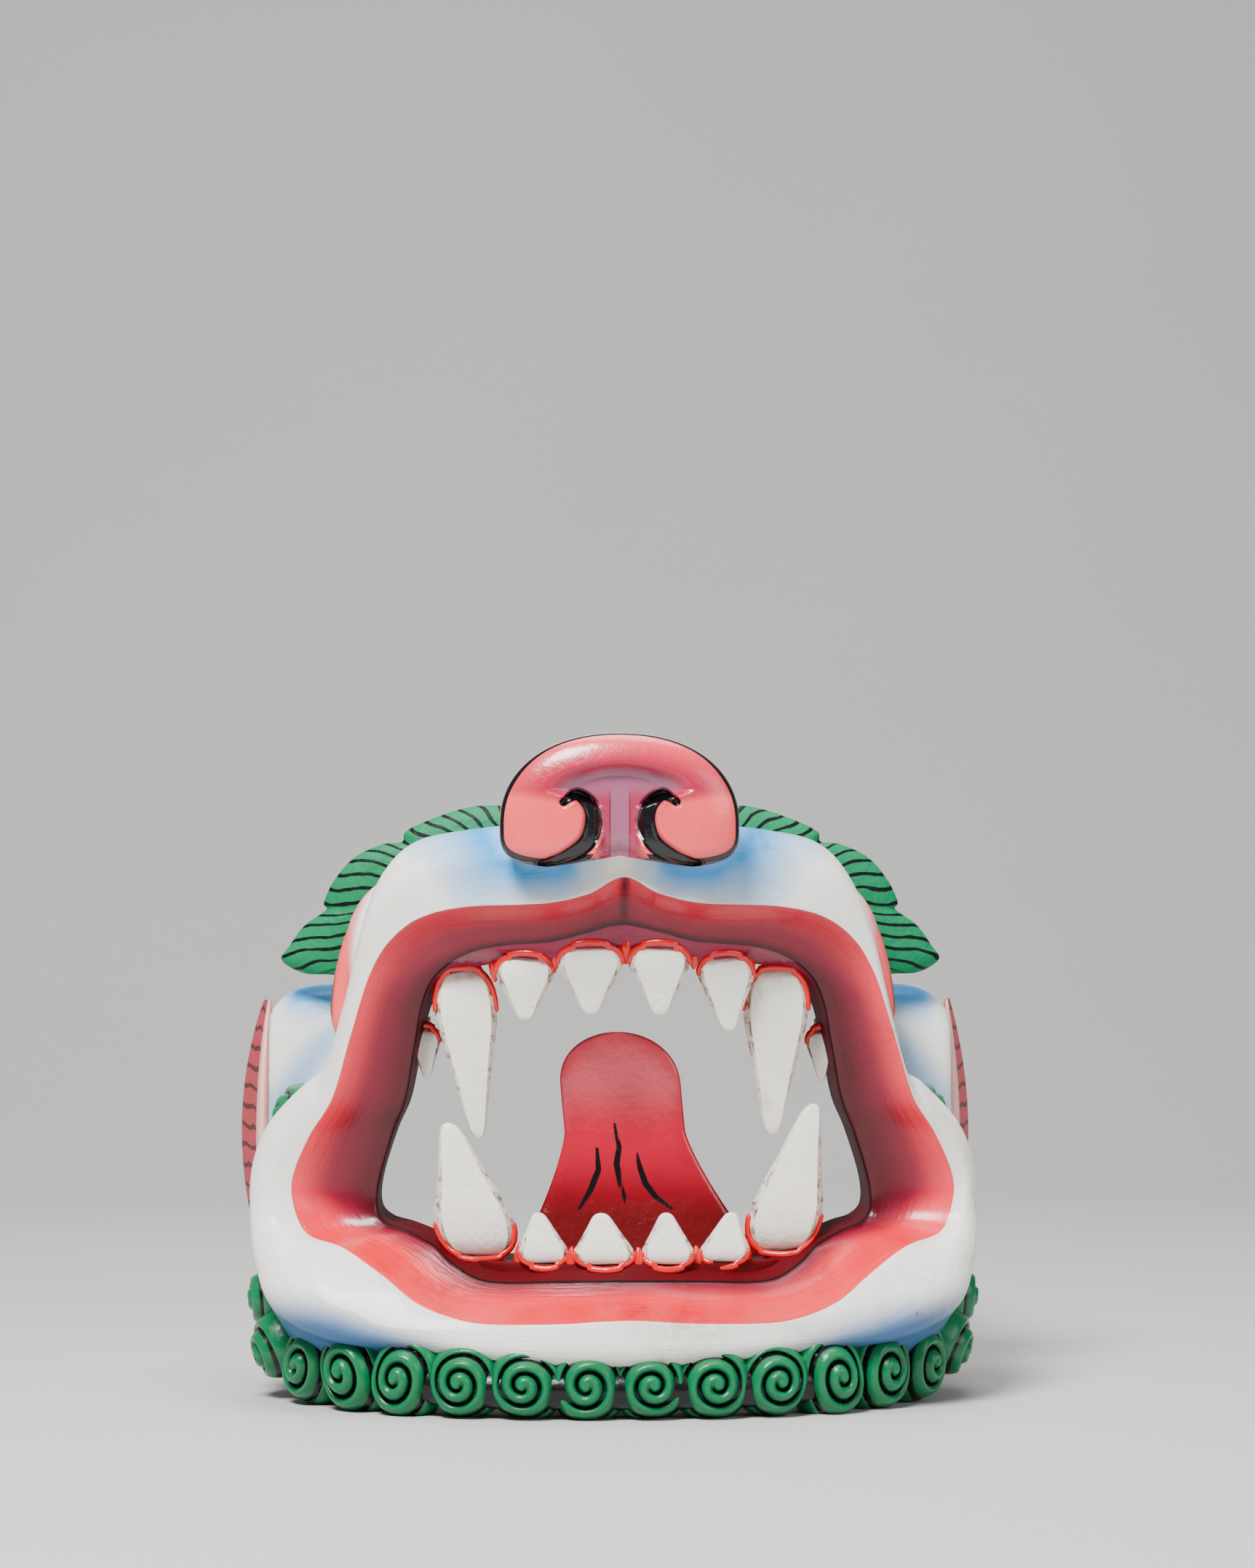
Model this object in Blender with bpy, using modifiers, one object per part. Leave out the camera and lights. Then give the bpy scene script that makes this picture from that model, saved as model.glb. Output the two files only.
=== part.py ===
"""Foo dog dance mask: a hollow carved and painted wooden head with an open, toothed mouth.

Metres, +Z up, the face looks along -Y. The origin is on the floor, under the middle of the mask.
The head is one carved piece, the tongue and the two ears are pieces of their own.
"""
import math

import bpy
import bmesh
import numpy as np
from mathutils import Matrix, Vector

# Driving dimensions
MUZZLE_WIDTH = 0.414        # cheek to cheek
MASK_HEIGHT = 0.378         # floor to the top of the nose
MASK_DEPTH = 0.330          # front of the lower lip to the rear rim
WALL = 0.013                # carved wall of the head
SEAT_GAP = 0.0003           # glue line under the tongue and behind each ear
MERGE = 0.000002            # corners closer than this become one
SAW_ALLOWANCE = 0.004       # wood sawn off below the floor line

# Lips and muzzle
LIP_FRONT = (0.010, 0.028)  # how far the lower and the upper lip stand back from the front
LIP_SWEEP = 0.075           # how far the lips run back at the cheeks
MOUTH_DRIFT = (0.0065, 0.0025)  # the mouth is carved off centre: low down, high up
LIP_HOLLOW = 0.004          # dip across the lip between crease and edge

# Half outlines from the top of the mouth round to the chin, in percent of half MUZZLE_WIDTH and MASK_HEIGHT
LIP_EDGE = [(0, 79.0), (9.7, 76.5), (21.7, 75.1), (41.1, 74.6), (54.1, 73.0), (63.0, 69.4), (68.9, 63.9),
            (74.3, 54.6), (79.2, 45.8), (85.5, 40.2), (90.3, 33.9), (90.1, 29.5), (86.3, 25.5), (76.3, 23.8),
            (65.5, 20.0), (55.5, 16.1), (41.1, 13.9), (19.3, 14.0), (0, 14.6)]
CREASE = [(0, 72.1), (10.6, 70.9), (19.8, 69.6), (34.5, 68.8), (44.0, 67.2), (51.4, 64.0), (54.9, 59.9),
          (57.0, 53.7), (59.7, 45.4), (63.3, 40.2), (67.1, 33.1), (67.6, 28.7), (64.7, 26.7), (59.2, 25.7),
          (52.2, 23.8), (46.9, 21.2), (37.7, 19.0), (19.3, 19.2), (0, 19.4)]
SHOULDER = [(0, 87.8), (14.5, 87.3), (29.0, 86.5), (41.5, 85.7), (54.1, 84.1), (62.3, 80.2), (68.1, 73.5),
            (74.4, 59.3), (79.7, 49.7), (85.0, 47.5), (94.7, 41.8), (99.3, 35.7), (100, 29.1), (98.3, 21.7),
            (92.8, 14.8), (77.3, 10.6), (50.7, 9.3), (24.2, 8.2), (0, 7.9)]
# Values along the same half loop, from the top to the chin, in metres
CREASE_DEPTH = (0.018, 0.020, 0.026, 0.036, 0.038, 0.032, 0.026)
SHOULDER_SETBACK = (0.032, 0.030, 0.020, 0.018, 0.018, 0.012, 0.002)
GUM_WIDTH = (0.014, 0.013, 0.006, 0.003, 0.003, 0.010, 0.012)
GUM_RETURN = (0.010, 0.010, 0.022, 0.040, 0.045, 0.020, 0.010)

# Back of the head: three arches, each width, height, distance behind the front and where it ends under the jaw
ARCH_POWER = 3.0
FOOT_AT = 0.78              # share of the half loop where an arch meets the floor
NECK_ARCH = (0.344, 0.314, 0.145, 0.036)
TEMPLE_ARCH = (0.356, 0.322, 0.190, 0.056)
REAR_ARCH = (0.352, 0.306, MASK_DEPTH, 0.074)
REAR_FOOT = 0.275           # the rear rim slopes forward down to its foot
AROUND = 36
CORNER = (1.0, 0.35, 1.0, 0.25, 1.0, 1.0, 1.0, 1.0, 1.0)    # under 1 where a ring is an edge
WIDEST_RING = 5             # the skin runs straight back where the muzzle is widest
PROFILE_RUN = (0, 0.012, 0.026, 0.042, 0.056, 0.078, 0.150, 0.205, 0.330)
PROFILE_STEPS = (1, 1, 1, 1, 2, 2, 1, 2)

# Jaw block and tongue
MOUTH_FLOOR = 0.082
JAW_BLOCK = (0.205, 0.068, 0.114)   # width, depth, back of the block behind the front
TONGUE_HEIGHT = 0.126
TONGUE_WIDTH = 0.069
TONGUE_ROOT = 0.136
TONGUE_THICKNESS = 0.011
TONGUE_BACK = 0.1015
TONGUE_OFFSET = 0.0125      # root, off centre like the lower jaw

# Teeth: place of the root, half width, place of the tip, root height, tip height
UPPER_TEETH = [(-0.1080, 0.0085, -0.1065, 0.2105, 0.1825), (-0.0860, 0.0176, -0.0775, 0.2440, 0.1500),
               (-0.0515, 0.0165, -0.0514, 0.2530, 0.2175), (-0.0150, 0.0184, -0.0150, 0.2590, 0.2210),
               (0.0235, 0.0172, 0.0238, 0.2590, 0.2205), (0.0610, 0.0158, 0.0630, 0.2530, 0.2110),
               (0.0910, 0.0185, 0.0884, 0.2440, 0.1520), (0.1172, 0.0080, 0.1180, 0.2090, 0.1805)]
LOWER_TEETH = [(-0.0765, 0.0225, -0.0945, 0.0850, 0.1590), (-0.0407, 0.0140, -0.0441, 0.0820, 0.1104),
               (-0.0072, 0.0168, -0.0093, 0.0820, 0.1108), (0.0282, 0.0146, 0.0270, 0.0820, 0.1108),
               (0.0594, 0.0138, 0.0642, 0.0820, 0.1100), (0.0925, 0.0210, 0.1120, 0.0870, 0.1690)]
TOOTH_THICKNESS = 0.42      # depth of a root as a share of its width
TOOTH_STAND = 0.007         # how far a tooth stands out in front of the edge of the gum
TOOTH_SINK = (0.005, 0.007)     # how far a root is buried behind and beyond that edge
TOOTH_RINGS = [(-1, 0.60), (0.0, 0.68), (0.15, 0.98), (0.42, 0.84), (0.80, 0.43), (0.975, 0.20)]

# Nose
NOSE_WIDTH = 0.132
NOSE_DROP = 0.0745          # top to bottom
NOSE_MIDDLE = 0.0505        # top of the nose down to its widest line
NOSE_REACH = 0.150          # how far the bridge runs back
NOSE_NOTCH = 0.007          # rise of the lower edge in the middle
NOSE_CORNER = (2.2, 4.0)    # how square the outline is above and below its widest line
NOSE_ROLL = 0.014           # height of the rolled rim over its edge
NOSE_HOLLOW = 0.009         # depth of the hollow between the nostrils
HOLLOW_TOP = 0.360
HOLLOW_HALF = 0.027         # half width of the hollow above the nostrils
SEPTUM_HALF = 0.011         # half width of the hollow between them
NOSTRIL_TOP = 0.3455
NOSTRIL_RADIUS = 0.0050
NOSTRIL = [(-0.0310, 0.3400), (-0.0235, 0.3440), (-0.0165, 0.3380), (-0.0145, 0.3285), (-0.0185, 0.3175),
           (-0.0300, 0.3100), (-0.0430, 0.3065)]

# Brows, eyes and temples
BROW_THICKNESS = 0.026
BROW_AT = 0.150
BROW_SWEEP = 0.020
BROW = [(0.020, 0.3350), (0.067, 0.3375), (0.085, 0.3360), (0.105, 0.3295), (0.1195, 0.3225), (0.1215, 0.3165),
        (0.133, 0.3150), (0.149, 0.3075), (0.161, 0.2940), (0.167, 0.2810), (0.1655, 0.2770), (0.178, 0.2680),
        (0.187, 0.2560), (0.1915, 0.2475), (0.178, 0.2400), (0.160, 0.2405)]
BROW_ROOT = (0.138, 0.120, 0.095, 0.060, 0.020)     # where the brow's lower edge sits in the wall
EYE_HALF = (0.033, 0.018, 0.045)
EYE_AT = (0.121, 0.122, 0.252)
UPPER_LID = [(0.084, 0.282), (0.106, 0.294), (0.130, 0.288), (0.146, 0.267), (0.1535, 0.243), (0.1565, 0.220),
             (0.153, 0.206)]
LOWER_LID = [(0.084, 0.282), (0.088, 0.262), (0.108, 0.238), (0.132, 0.216), (0.153, 0.206)]
LID_AT = 0.121
LID_RADIUS = 0.0055
TEMPLE_WIDTH = MUZZLE_WIDTH - 0.004      # over both swellings, before the ears' seats are cut flat
TEMPLE_SWELL = (0.034, 0.094)   # half depth and half height
TEMPLE_POWER = 4.5          # above 2 the swelling is squarer
TEMPLE_AT = (0.196, 0.138)

# Ears
EAR_SEAT = MUZZLE_WIDTH / 2 - 0.0075     # flat seat of an ear on each side
EAR_LENGTH = 0.158
EAR_WIDTH = 0.070
EAR_THICKNESS = 0.010
EAR_TOP = 0.222
EAR_FRONT = 0.196
EAR_BOW = 0.012             # how far the ends of its root run back
EAR_ROOT = 0.25             # share of its width that lies flat on the seat
EAR_SPREAD = 0.0136         # how far the free edge stands out past the root

# Curls: along the jaw, then up behind each cheek
CURL_SPACING = 0.0345
CURLS_LEVEL = 6             # the curls up to here stand upright on the floor
CURL_HALF = (0.0205, 0.0195)
CURL_DEPTH = 0.0165
CURL_GROOVE = 0.0045        # depth of the groove
CURL_ROOT = -0.010          # a curl's border, set into the wall behind the line of curls
CURL_HEART = 0.12           # where the groove ends, as a share of the curl
CURL_RIM = 0.95             # where the outermost ridge ends
CURL_TAIL = math.radians(100)
CURL_TURNS = 1.75
CURL_STEPS = 7              # steps in a turn
ROLL_RADIUS = 0.0125
ROLL_INSET = 0.945          # the roll runs this far out, as a share of the curls' line, set into the head
# Half line of the curls, from under the chin to the sideburn: percent of half MUZZLE_WIDTH, depth, height
JAW_LINE = [(0, 0.019, 0.016), (19.3, 0.021, 0.016), (38.6, 0.027, 0.0165), (56.0, 0.040, 0.0175),
            (71.0, 0.061, 0.019), (82.6, 0.085, 0.0205), (90.8, 0.108, 0.028), (93.7, 0.128, 0.048),
            (92.8, 0.139, 0.076), (91.3, 0.142, 0.108), (89.1, 0.143, 0.135), (86.5, 0.145, 0.158),
            (82.6, 0.145, 0.178)]


def spline(knots, at, closed=False):
    """Catmull-Rom curve through knots, read at the given places counted in knots."""
    knots = np.asarray(knots, float)
    at = np.asarray(at, float)
    count = len(knots)
    low = np.floor(at).astype(int)
    if not closed:
        low = np.clip(low, 0, count - 2)
    part = at - low
    if knots.ndim > 1:
        part = part.reshape(part.shape + (1,) * (knots.ndim - 1))

    def pick(k):
        return knots[k % count] if closed else knots[np.clip(k, 0, count - 1)]
    a, b, c, d = pick(low - 1), pick(low), pick(low + 1), pick(low + 2)
    return 0.5 * (2 * b + (c - a) * part + (2 * a - 5 * b + 4 * c - d) * part ** 2
                  + (3 * b - a - 3 * c + d) * part ** 3)


def along(values, share):
    """A value set at even places on the half loop, read at shares from 0 to 1."""
    return spline(values, np.asarray(share) * (len(values) - 1))


def lip_depth(x, z):
    """How far the face stands back from the front at a place on the lips."""
    rise = np.clip((z / MASK_HEIGHT - 0.16) / 0.58, 0, 1)
    front = LIP_FRONT[0] + (LIP_FRONT[1] - LIP_FRONT[0]) * rise
    return front + LIP_SWEEP * (np.abs(x) / (0.45 * MUZZLE_WIDTH)) ** 2


def drift(z):
    """Sideways shift of the mouth at a height."""
    share = np.clip(z / MASK_HEIGHT, 0, 1)
    return MOUTH_DRIFT[0] + (MOUTH_DRIFT[1] - MOUTH_DRIFT[0]) * share


def outline(shares):
    """Half outline in metres from percentages of the muzzle."""
    shares = np.asarray(shares, float) / 100
    return shares[:, 0] * MUZZLE_WIDTH / 2, shares[:, 1] * MASK_HEIGHT


def arch(width, height, depth, front, foot, share):
    """Half an arch over the head that then runs forward under the jaw."""
    over = np.clip(share / FOOT_AT, 0, 1) ** 0.8 * math.pi / 2
    x = width / 2 * np.sin(over) ** (2 / ARCH_POWER)
    z = height * np.cos(over).clip(0) ** (2 / ARCH_POWER)
    y = depth + (foot - depth) * (1 - z / height) ** 1.5
    under = np.clip((share - FOOT_AT) / (1 - FOOT_AT), 0, 1) * math.pi / 2
    x = np.where(share > FOOT_AT, width / 2 * np.cos(under).clip(0) ** 0.8, x)
    y = np.where(share > FOOT_AT, foot - (foot - front) * np.sin(under) ** 0.8, y)
    z = np.where(share > FOOT_AT, 0, z)
    return np.stack([x, y, z - SAW_ALLOWANCE * (1 - z / height)], axis=1)


def arch_width_at(z, arch_size, inset):
    """Half width of an arch at a height, measured inside its skin by the inset."""
    width, height = arch_size[0] / 2 - inset, arch_size[1] - inset
    return width * np.clip(1 - (np.clip(z, 0, None) / height) ** ARCH_POWER, 0, 1) ** (1 / ARCH_POWER)


def arch_height_at(x, arch_size, inset):
    """Height of an arch at a distance from the middle, measured inside its skin by the inset."""
    width, height = arch_size[0] / 2 - inset, arch_size[1] - inset
    return height * np.clip(1 - (np.abs(x) / width) ** ARCH_POWER, 0, 1) ** (1 / ARCH_POWER)


def head_rings():
    """The guiding rings of the head's outer skin, from inside the mouth to the rear rim, half of each."""
    share = np.linspace(0, 1, len(LIP_EDGE))
    lip_x, lip_z = outline(LIP_EDGE)
    lip = np.stack([lip_x, lip_depth(lip_x, lip_z), lip_z], axis=1)
    crease_x, crease_z = outline(CREASE)
    crease_y = lip_depth(crease_x, crease_z) + along(CREASE_DEPTH, share)
    crease = np.stack([crease_x, crease_y, crease_z], axis=1)
    middle = np.array([0, 0, 0.45 * MASK_HEIGHT])
    inward = (middle - crease) * (1, 0, 1)
    inward /= np.linalg.norm(inward, axis=1)[:, None]
    edge = crease + inward * along(GUM_WIDTH, share)[:, None]
    edge[:, 1] += along(GUM_RETURN, share)
    shoulder_x, shoulder_z = outline(SHOULDER)
    shoulder_y = lip[:, 1] + along(SHOULDER_SETBACK, share)
    shoulder = np.stack([shoulder_x, shoulder_y, shoulder_z], axis=1)
    lip_middle = 0.5 * (crease + lip) + [0, LIP_HOLLOW, 0]
    reach = np.linalg.norm(shoulder - lip, axis=1)[:, None]
    band = 0.5 * (lip + shoulder) - inward * 0.06 * reach - np.array([0, 1, 0]) * 0.20 * reach
    back = [arch(*NECK_ARCH, NECK_ARCH[2], share), arch(*TEMPLE_ARCH, TEMPLE_ARCH[2], share),
            arch(*REAR_ARCH, REAR_FOOT, share)]
    return [edge, crease, lip_middle, lip, band, shoulder] + back


def full_loop(half, sway):
    """A closed ring from its right half, shifted sideways by the share of the mouth's drift."""
    left = half[-2:0:-1] * (-1, 1, 1)
    ring = np.concatenate([half, left])
    ring[:, 0] += sway * drift(ring[:, 2])
    return ring


def across(rings, run, at):
    """Smooth profile through the rings, softer or sharper at each by CORNER."""
    slopes = []
    for i, ring in enumerate(rings):
        low, high = max(i - 1, 0), min(i + 1, len(rings) - 1)
        before = (ring - rings[low]) / (run[i] - run[low]) if i > low else None
        after = (rings[high] - ring) / (run[high] - run[i]) if high > i else None
        if before is None or after is None:
            slopes.append(after if before is None else before)
            continue
        weight = (run[i] - run[low]) / (run[high] - run[low])
        slope = (before * (1 - weight) + after * weight) * CORNER[i]
        slopes.append(slope * (0.1, 1, 0.1) if i == WIDEST_RING else slope)
    rows = []
    for place in at:
        i = min(int(np.searchsorted(run, place, side="right")) - 1, len(rings) - 2)
        gap = run[i + 1] - run[i]
        t = (place - run[i]) / gap
        rows.append(rings[i] * (2 * t ** 3 - 3 * t ** 2 + 1) + slopes[i] * gap * (t ** 3 - 2 * t ** 2 + t)
                    + rings[i + 1] * (3 * t ** 2 - 2 * t ** 3) + slopes[i + 1] * gap * (t ** 3 - t ** 2))
    return np.array(rows)


def new_object(name, collection, mesh):
    thing = bpy.data.objects.new(name, mesh)
    collection.objects.link(thing)
    return thing


def loft(name, collection, rings, capped=True):
    """A skin over closed rings of equal count, with its ends filled."""
    form = bmesh.new()
    rows = [[form.verts.new(point) for point in ring] for ring in rings]
    for low, high in zip(rows, rows[1:]):
        for i in range(len(low)):
            j = (i + 1) % len(low)
            form.faces.new((low[i], low[j], high[j], high[i]))
    if capped:
        form.faces.new(rows[0][::-1])
        form.faces.new(rows[-1])
        bmesh.ops.recalc_face_normals(form, faces=form.faces)
    mesh = bpy.data.meshes.new(name)
    form.to_mesh(mesh)
    form.free()
    return new_object(name, collection, mesh)


def welded(name, data):
    """The closed mesh that a curve makes, its caps joined on."""
    guide = bpy.data.objects.new(name, data)
    bpy.context.scene.collection.objects.link(guide)
    mesh = bpy.data.meshes.new_from_object(guide.evaluated_get(bpy.context.evaluated_depsgraph_get()))
    bpy.data.objects.remove(guide)
    form = bmesh.new()
    form.from_mesh(mesh)
    bmesh.ops.remove_doubles(form, verts=form.verts, dist=MERGE)
    form.to_mesh(mesh)
    form.free()
    return mesh


def tube(name, collection, points, radii, resolution=1):
    """A round bar along points, its ends filled and welded."""
    data = bpy.data.curves.new(name, "CURVE")
    data.dimensions = "3D"
    data.bevel_depth = 1.0
    data.bevel_resolution = resolution
    data.use_fill_caps = True
    run = data.splines.new("POLY")
    run.points.add(len(points) - 1)
    for target, point, radius in zip(run.points, points, radii):
        target.co = (*point, 1)
        target.radius = radius
    return new_object(name, collection, welded(name, data))


def slab(name, collection, points, thickness):
    """A flat outline in X and Z, given its thickness along Y."""
    data = bpy.data.curves.new(name, "CURVE")
    data.dimensions = "2D"
    data.fill_mode = "BOTH"
    data.extrude = thickness / 2
    run = data.splines.new("POLY")
    run.points.add(len(points) - 1)
    for target, (x, z) in zip(run.points, points):
        target.co = (x, z, 0, 1)
    run.use_cyclic_u = True
    mesh = welded(name, data)
    mesh.transform(Matrix.Rotation(math.pi / 2, 4, "X"))
    return new_object(name, collection, mesh)


def head_shell(collection):
    """Outer skin of the head, carved to an even wall."""
    rings = [full_loop(half, sway) for half, sway in
             zip(head_rings(), (1, 1, 1, 0.9, 0.4, 0, 0, 0, 0))]
    stations = len(rings[0])
    places = np.arange(AROUND) * stations / AROUND
    rings = [spline(ring, places, closed=True) for ring in rings]
    at = [PROFILE_RUN[0]]
    for start, end, steps in zip(PROFILE_RUN, PROFILE_RUN[1:], PROFILE_STEPS):
        at += [start + (end - start) * (k + 1) / steps for k in range(steps)]
    rows = across(rings, PROFILE_RUN, at)
    shell = loft("head_shell", collection, rows, capped=False)
    thicken = shell.modifiers.new("Carved wall", "SOLIDIFY")
    thicken.thickness = WALL
    thicken.offset = -1
    return shell


def jaw_block(collection):
    """Solid wood behind the lower gum, flat on top for the tongue."""
    width, depth, back = JAW_BLOCK
    turn = np.linspace(0, math.pi, 15)
    x = width / 2 * np.cos(turn) + MOUTH_DRIFT[0]
    y = back - depth * np.sin(turn) ** 0.8
    rings = [np.stack([x, y, np.full_like(x, z)], axis=1) for z in (-SAW_ALLOWANCE, MOUTH_FLOOR)]
    return loft("jaw_block", collection, rings)


def gum_depth(x, z):
    """How far the edge of the gum stands back from the front, where it is nearest to a place."""
    edge = full_loop(head_rings()[0], 1.0)
    fine = spline(edge, np.arange(0, len(edge), 0.1), closed=True)
    return fine[np.argmin(np.hypot(fine[:, 0] - x, fine[:, 2] - z)), 1]


def tooth(name, collection, root, half, tip, root_z, tip_z):
    """A tapering tooth with flat facets, its root buried in the gum."""
    up = 1 if tip_z > root_z else -1
    depth = gum_depth(root, root_z) - TOOTH_STAND + half * TOOTH_THICKNESS
    turn = np.arange(6) * math.pi / 3 + math.pi / 6
    rings = []
    for run, size in TOOTH_RINGS:
        x = root + (tip - root) * max(run, 0) ** 1.2
        y = depth + (TOOTH_SINK[0] if run < 0 else 0)
        z = root_z + (tip_z - root_z) * max(run, 0) - (up * TOOTH_SINK[1] if run < 0 else 0)
        deep = half * size * TOOTH_THICKNESS
        rings.append(np.stack([x + half * size * np.cos(turn), y + deep * np.sin(turn), np.full(6, z)], axis=1))
    return loft(name, collection, rings)


def nose_outline(turn, size, lift):
    """The nose seen from the front: round above its widest line, squarer wings and a notch below."""
    across_x, up = np.cos(turn), np.sin(turn)
    power = np.where(up > 0, *NOSE_CORNER)
    tall = np.where(up > 0, NOSE_MIDDLE, NOSE_DROP - NOSE_MIDDLE)
    x = NOSE_WIDTH / 2 * np.sign(across_x) * np.abs(across_x) ** (2 / power)
    z = tall * np.sign(up) * np.abs(up) ** (2 / power)
    z += np.where(up > 0, 0, NOSE_NOTCH * np.clip(1 - np.abs(x) / (0.6 * NOSE_WIDTH / 2), 0, 1))
    return x * size, MASK_HEIGHT - NOSE_MIDDLE + z * size - lift


def fade(t):
    """Smooth step from 0 to 1 as t runs from -1 to 1."""
    t = np.clip(0.5 + 0.5 * t, 0, 1)
    return t * t * (3 - 2 * t)


def nose_relief(x, z):
    """Height of the cushioned front over its edge, less the hollow that narrows down to the septum."""
    middle = MASK_HEIGHT - NOSE_MIDDLE
    tall = np.where(z > middle, NOSE_MIDDLE, NOSE_DROP - NOSE_MIDDLE)
    power = np.where(z > middle, *NOSE_CORNER)
    reach = (np.abs(2 * x / NOSE_WIDTH) ** power + np.abs((z - middle) / tall) ** power) ** (1 / power)
    cushion = NOSE_ROLL * np.clip(1 - reach ** 3, 0, 1) ** 0.5
    wide = SEPTUM_HALF + (HOLLOW_HALF - SEPTUM_HALF) * fade((z - NOSTRIL_TOP + 0.012) / 0.010)
    hollow = NOSE_HOLLOW * fade((wide - np.abs(x)) / 0.006) * fade((HOLLOW_TOP - z) / 0.008)
    return np.maximum(cushion - hollow, 0)


def nose(collection):
    """The nose: rolled front, then the bridge running back into the forehead."""
    turn = np.arange(28) * math.pi / 14
    front = LIP_FRONT[1] - 0.012
    rings = []
    for size, depth, lift in ((0.42, NOSE_REACH, 0.014), (0.50, 0.100, 0.010), (0.72, front + 0.040, 0.004),
                              (0.97, front + 0.016, 0), (1.0, front, 0)):
        x, z = nose_outline(turn, size, lift)
        if depth > front + 0.05:
            z = np.maximum(z, NECK_ARCH[1] - WALL / 2)
        rings.append(np.stack([x, np.full_like(x, depth), z], axis=1))
    for size in (0.95, 0.86, 0.74, 0.60, 0.46, 0.30, 0.12):
        x, z = nose_outline(turn, size, 0)
        rings.append(np.stack([x, front - nose_relief(x, z), z], axis=1))
    return loft("nose", collection, rings)


def nostrils(collection):
    """Cutters for the two crescent nostrils."""
    places = np.linspace(0, len(NOSTRIL) - 1, 10)
    run = spline(NOSTRIL, places)
    front = LIP_FRONT[1] - 0.012
    for side in (-1, 1):
        points = [(-side * x, front - float(nose_relief(x, z)), z) for x, z in run]
        radii = [NOSTRIL_RADIUS * (0.4 + 0.6 * math.sin(math.pi * (k + 0.5) / 10)) for k in range(10)]
        tube("nostril_cut", collection, points, radii)


def brow(collection, side):
    """A thick brow in three lobes, swept back to its point."""
    edge = BROW + [(x, float(arch_height_at(x, NECK_ARCH, WALL / 2))) for x in BROW_ROOT]
    piece = slab("brow", collection, [(side * x, z) for x, z in edge], BROW_THICKNESS)
    for vertex in piece.data.vertices:
        share = abs(vertex.co.x) / (MUZZLE_WIDTH / 2)
        vertex.co.y = BROW_AT - vertex.co.y + BROW_SWEEP * share ** 3
    turn_outward(piece)
    return piece


def turn_outward(piece):
    form = bmesh.new()
    form.from_mesh(piece.data)
    bmesh.ops.recalc_face_normals(form, faces=form.faces)
    form.to_mesh(piece.data)
    form.free()


def out_of_hollow(x, z, arch_size):
    """Factor that moves a place out to the middle of an arch's wall, or 1 where it is already further out."""
    width, height = arch_size[0] / 2 - WALL / 2, arch_size[1] - WALL / 2
    return max((abs(x / width) ** ARCH_POWER + abs(z / height) ** ARCH_POWER) ** (-1 / ARCH_POWER), 1)


def eye(collection, side):
    """A bulging almond eye, slanting down and out, in two raised lids."""
    form = bmesh.new()
    bmesh.ops.create_uvsphere(form, u_segments=14, v_segments=8, radius=1)
    for vertex in form.verts:
        x, y, z = (at + half * v for at, half, v in zip(EYE_AT, EYE_HALF, vertex.co))
        out = out_of_hollow(x, z, NECK_ARCH)
        vertex.co = (side * x * out, y, z * out)
    mesh = bpy.data.meshes.new("eyeball")
    form.to_mesh(mesh)
    form.free()
    turn_outward(new_object("eyeball", collection, mesh))
    for lid in (UPPER_LID, LOWER_LID):
        points = []
        for x, z in spline(lid, np.linspace(0, len(lid) - 1, 9)):
            out = out_of_hollow(x, z, NECK_ARCH)
            points.append((side * x * out, LID_AT, z * out))
        tube("lid", collection, points, [LID_RADIUS] * len(points), 0)


def temple(collection, side):
    """Squared swelling behind the cheek, flat on its outer side for the ear."""
    form = bmesh.new()
    bmesh.ops.create_uvsphere(form, u_segments=10, v_segments=7, radius=1)
    for vertex in form.verts:
        reach = sum(abs(v) ** TEMPLE_POWER for v in vertex.co) ** (1 / TEMPLE_POWER)
        unit = vertex.co / reach
        y, z = TEMPLE_AT[0] + unit.y * TEMPLE_SWELL[0], TEMPLE_AT[1] + unit.z * TEMPLE_SWELL[1]
        inner = float(arch_width_at(z, TEMPLE_ARCH, WALL / 2))
        x = inner + max(unit.x, 0) * (TEMPLE_WIDTH / 2 - inner) + min(unit.x, 0) * WALL / 4
        vertex.co = (side * min(x, EAR_SEAT - SEAT_GAP), y, z)
    mesh = bpy.data.meshes.new("temple")
    form.to_mesh(mesh)
    form.free()
    turn_outward(new_object("temple", collection, mesh))


def jaw_line():
    """The half line of the curls as places."""
    return np.array(JAW_LINE) * (MUZZLE_WIDTH / 200, 1, 1)


def jaw_path():
    """Places of the curls on the right half, from under the chin to the sideburn, evenly spaced."""
    fine = spline(jaw_line(), np.linspace(0, len(JAW_LINE) - 1, 400))
    length = np.concatenate([[0], np.cumsum(np.linalg.norm(np.diff(fine, axis=0), axis=1))])
    count = int(length[-1] / CURL_SPACING + 0.5)
    at = (np.arange(count) + 0.5) * CURL_SPACING
    return np.stack([np.interp(at, length, fine[:, k]) for k in range(3)], axis=1)


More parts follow.
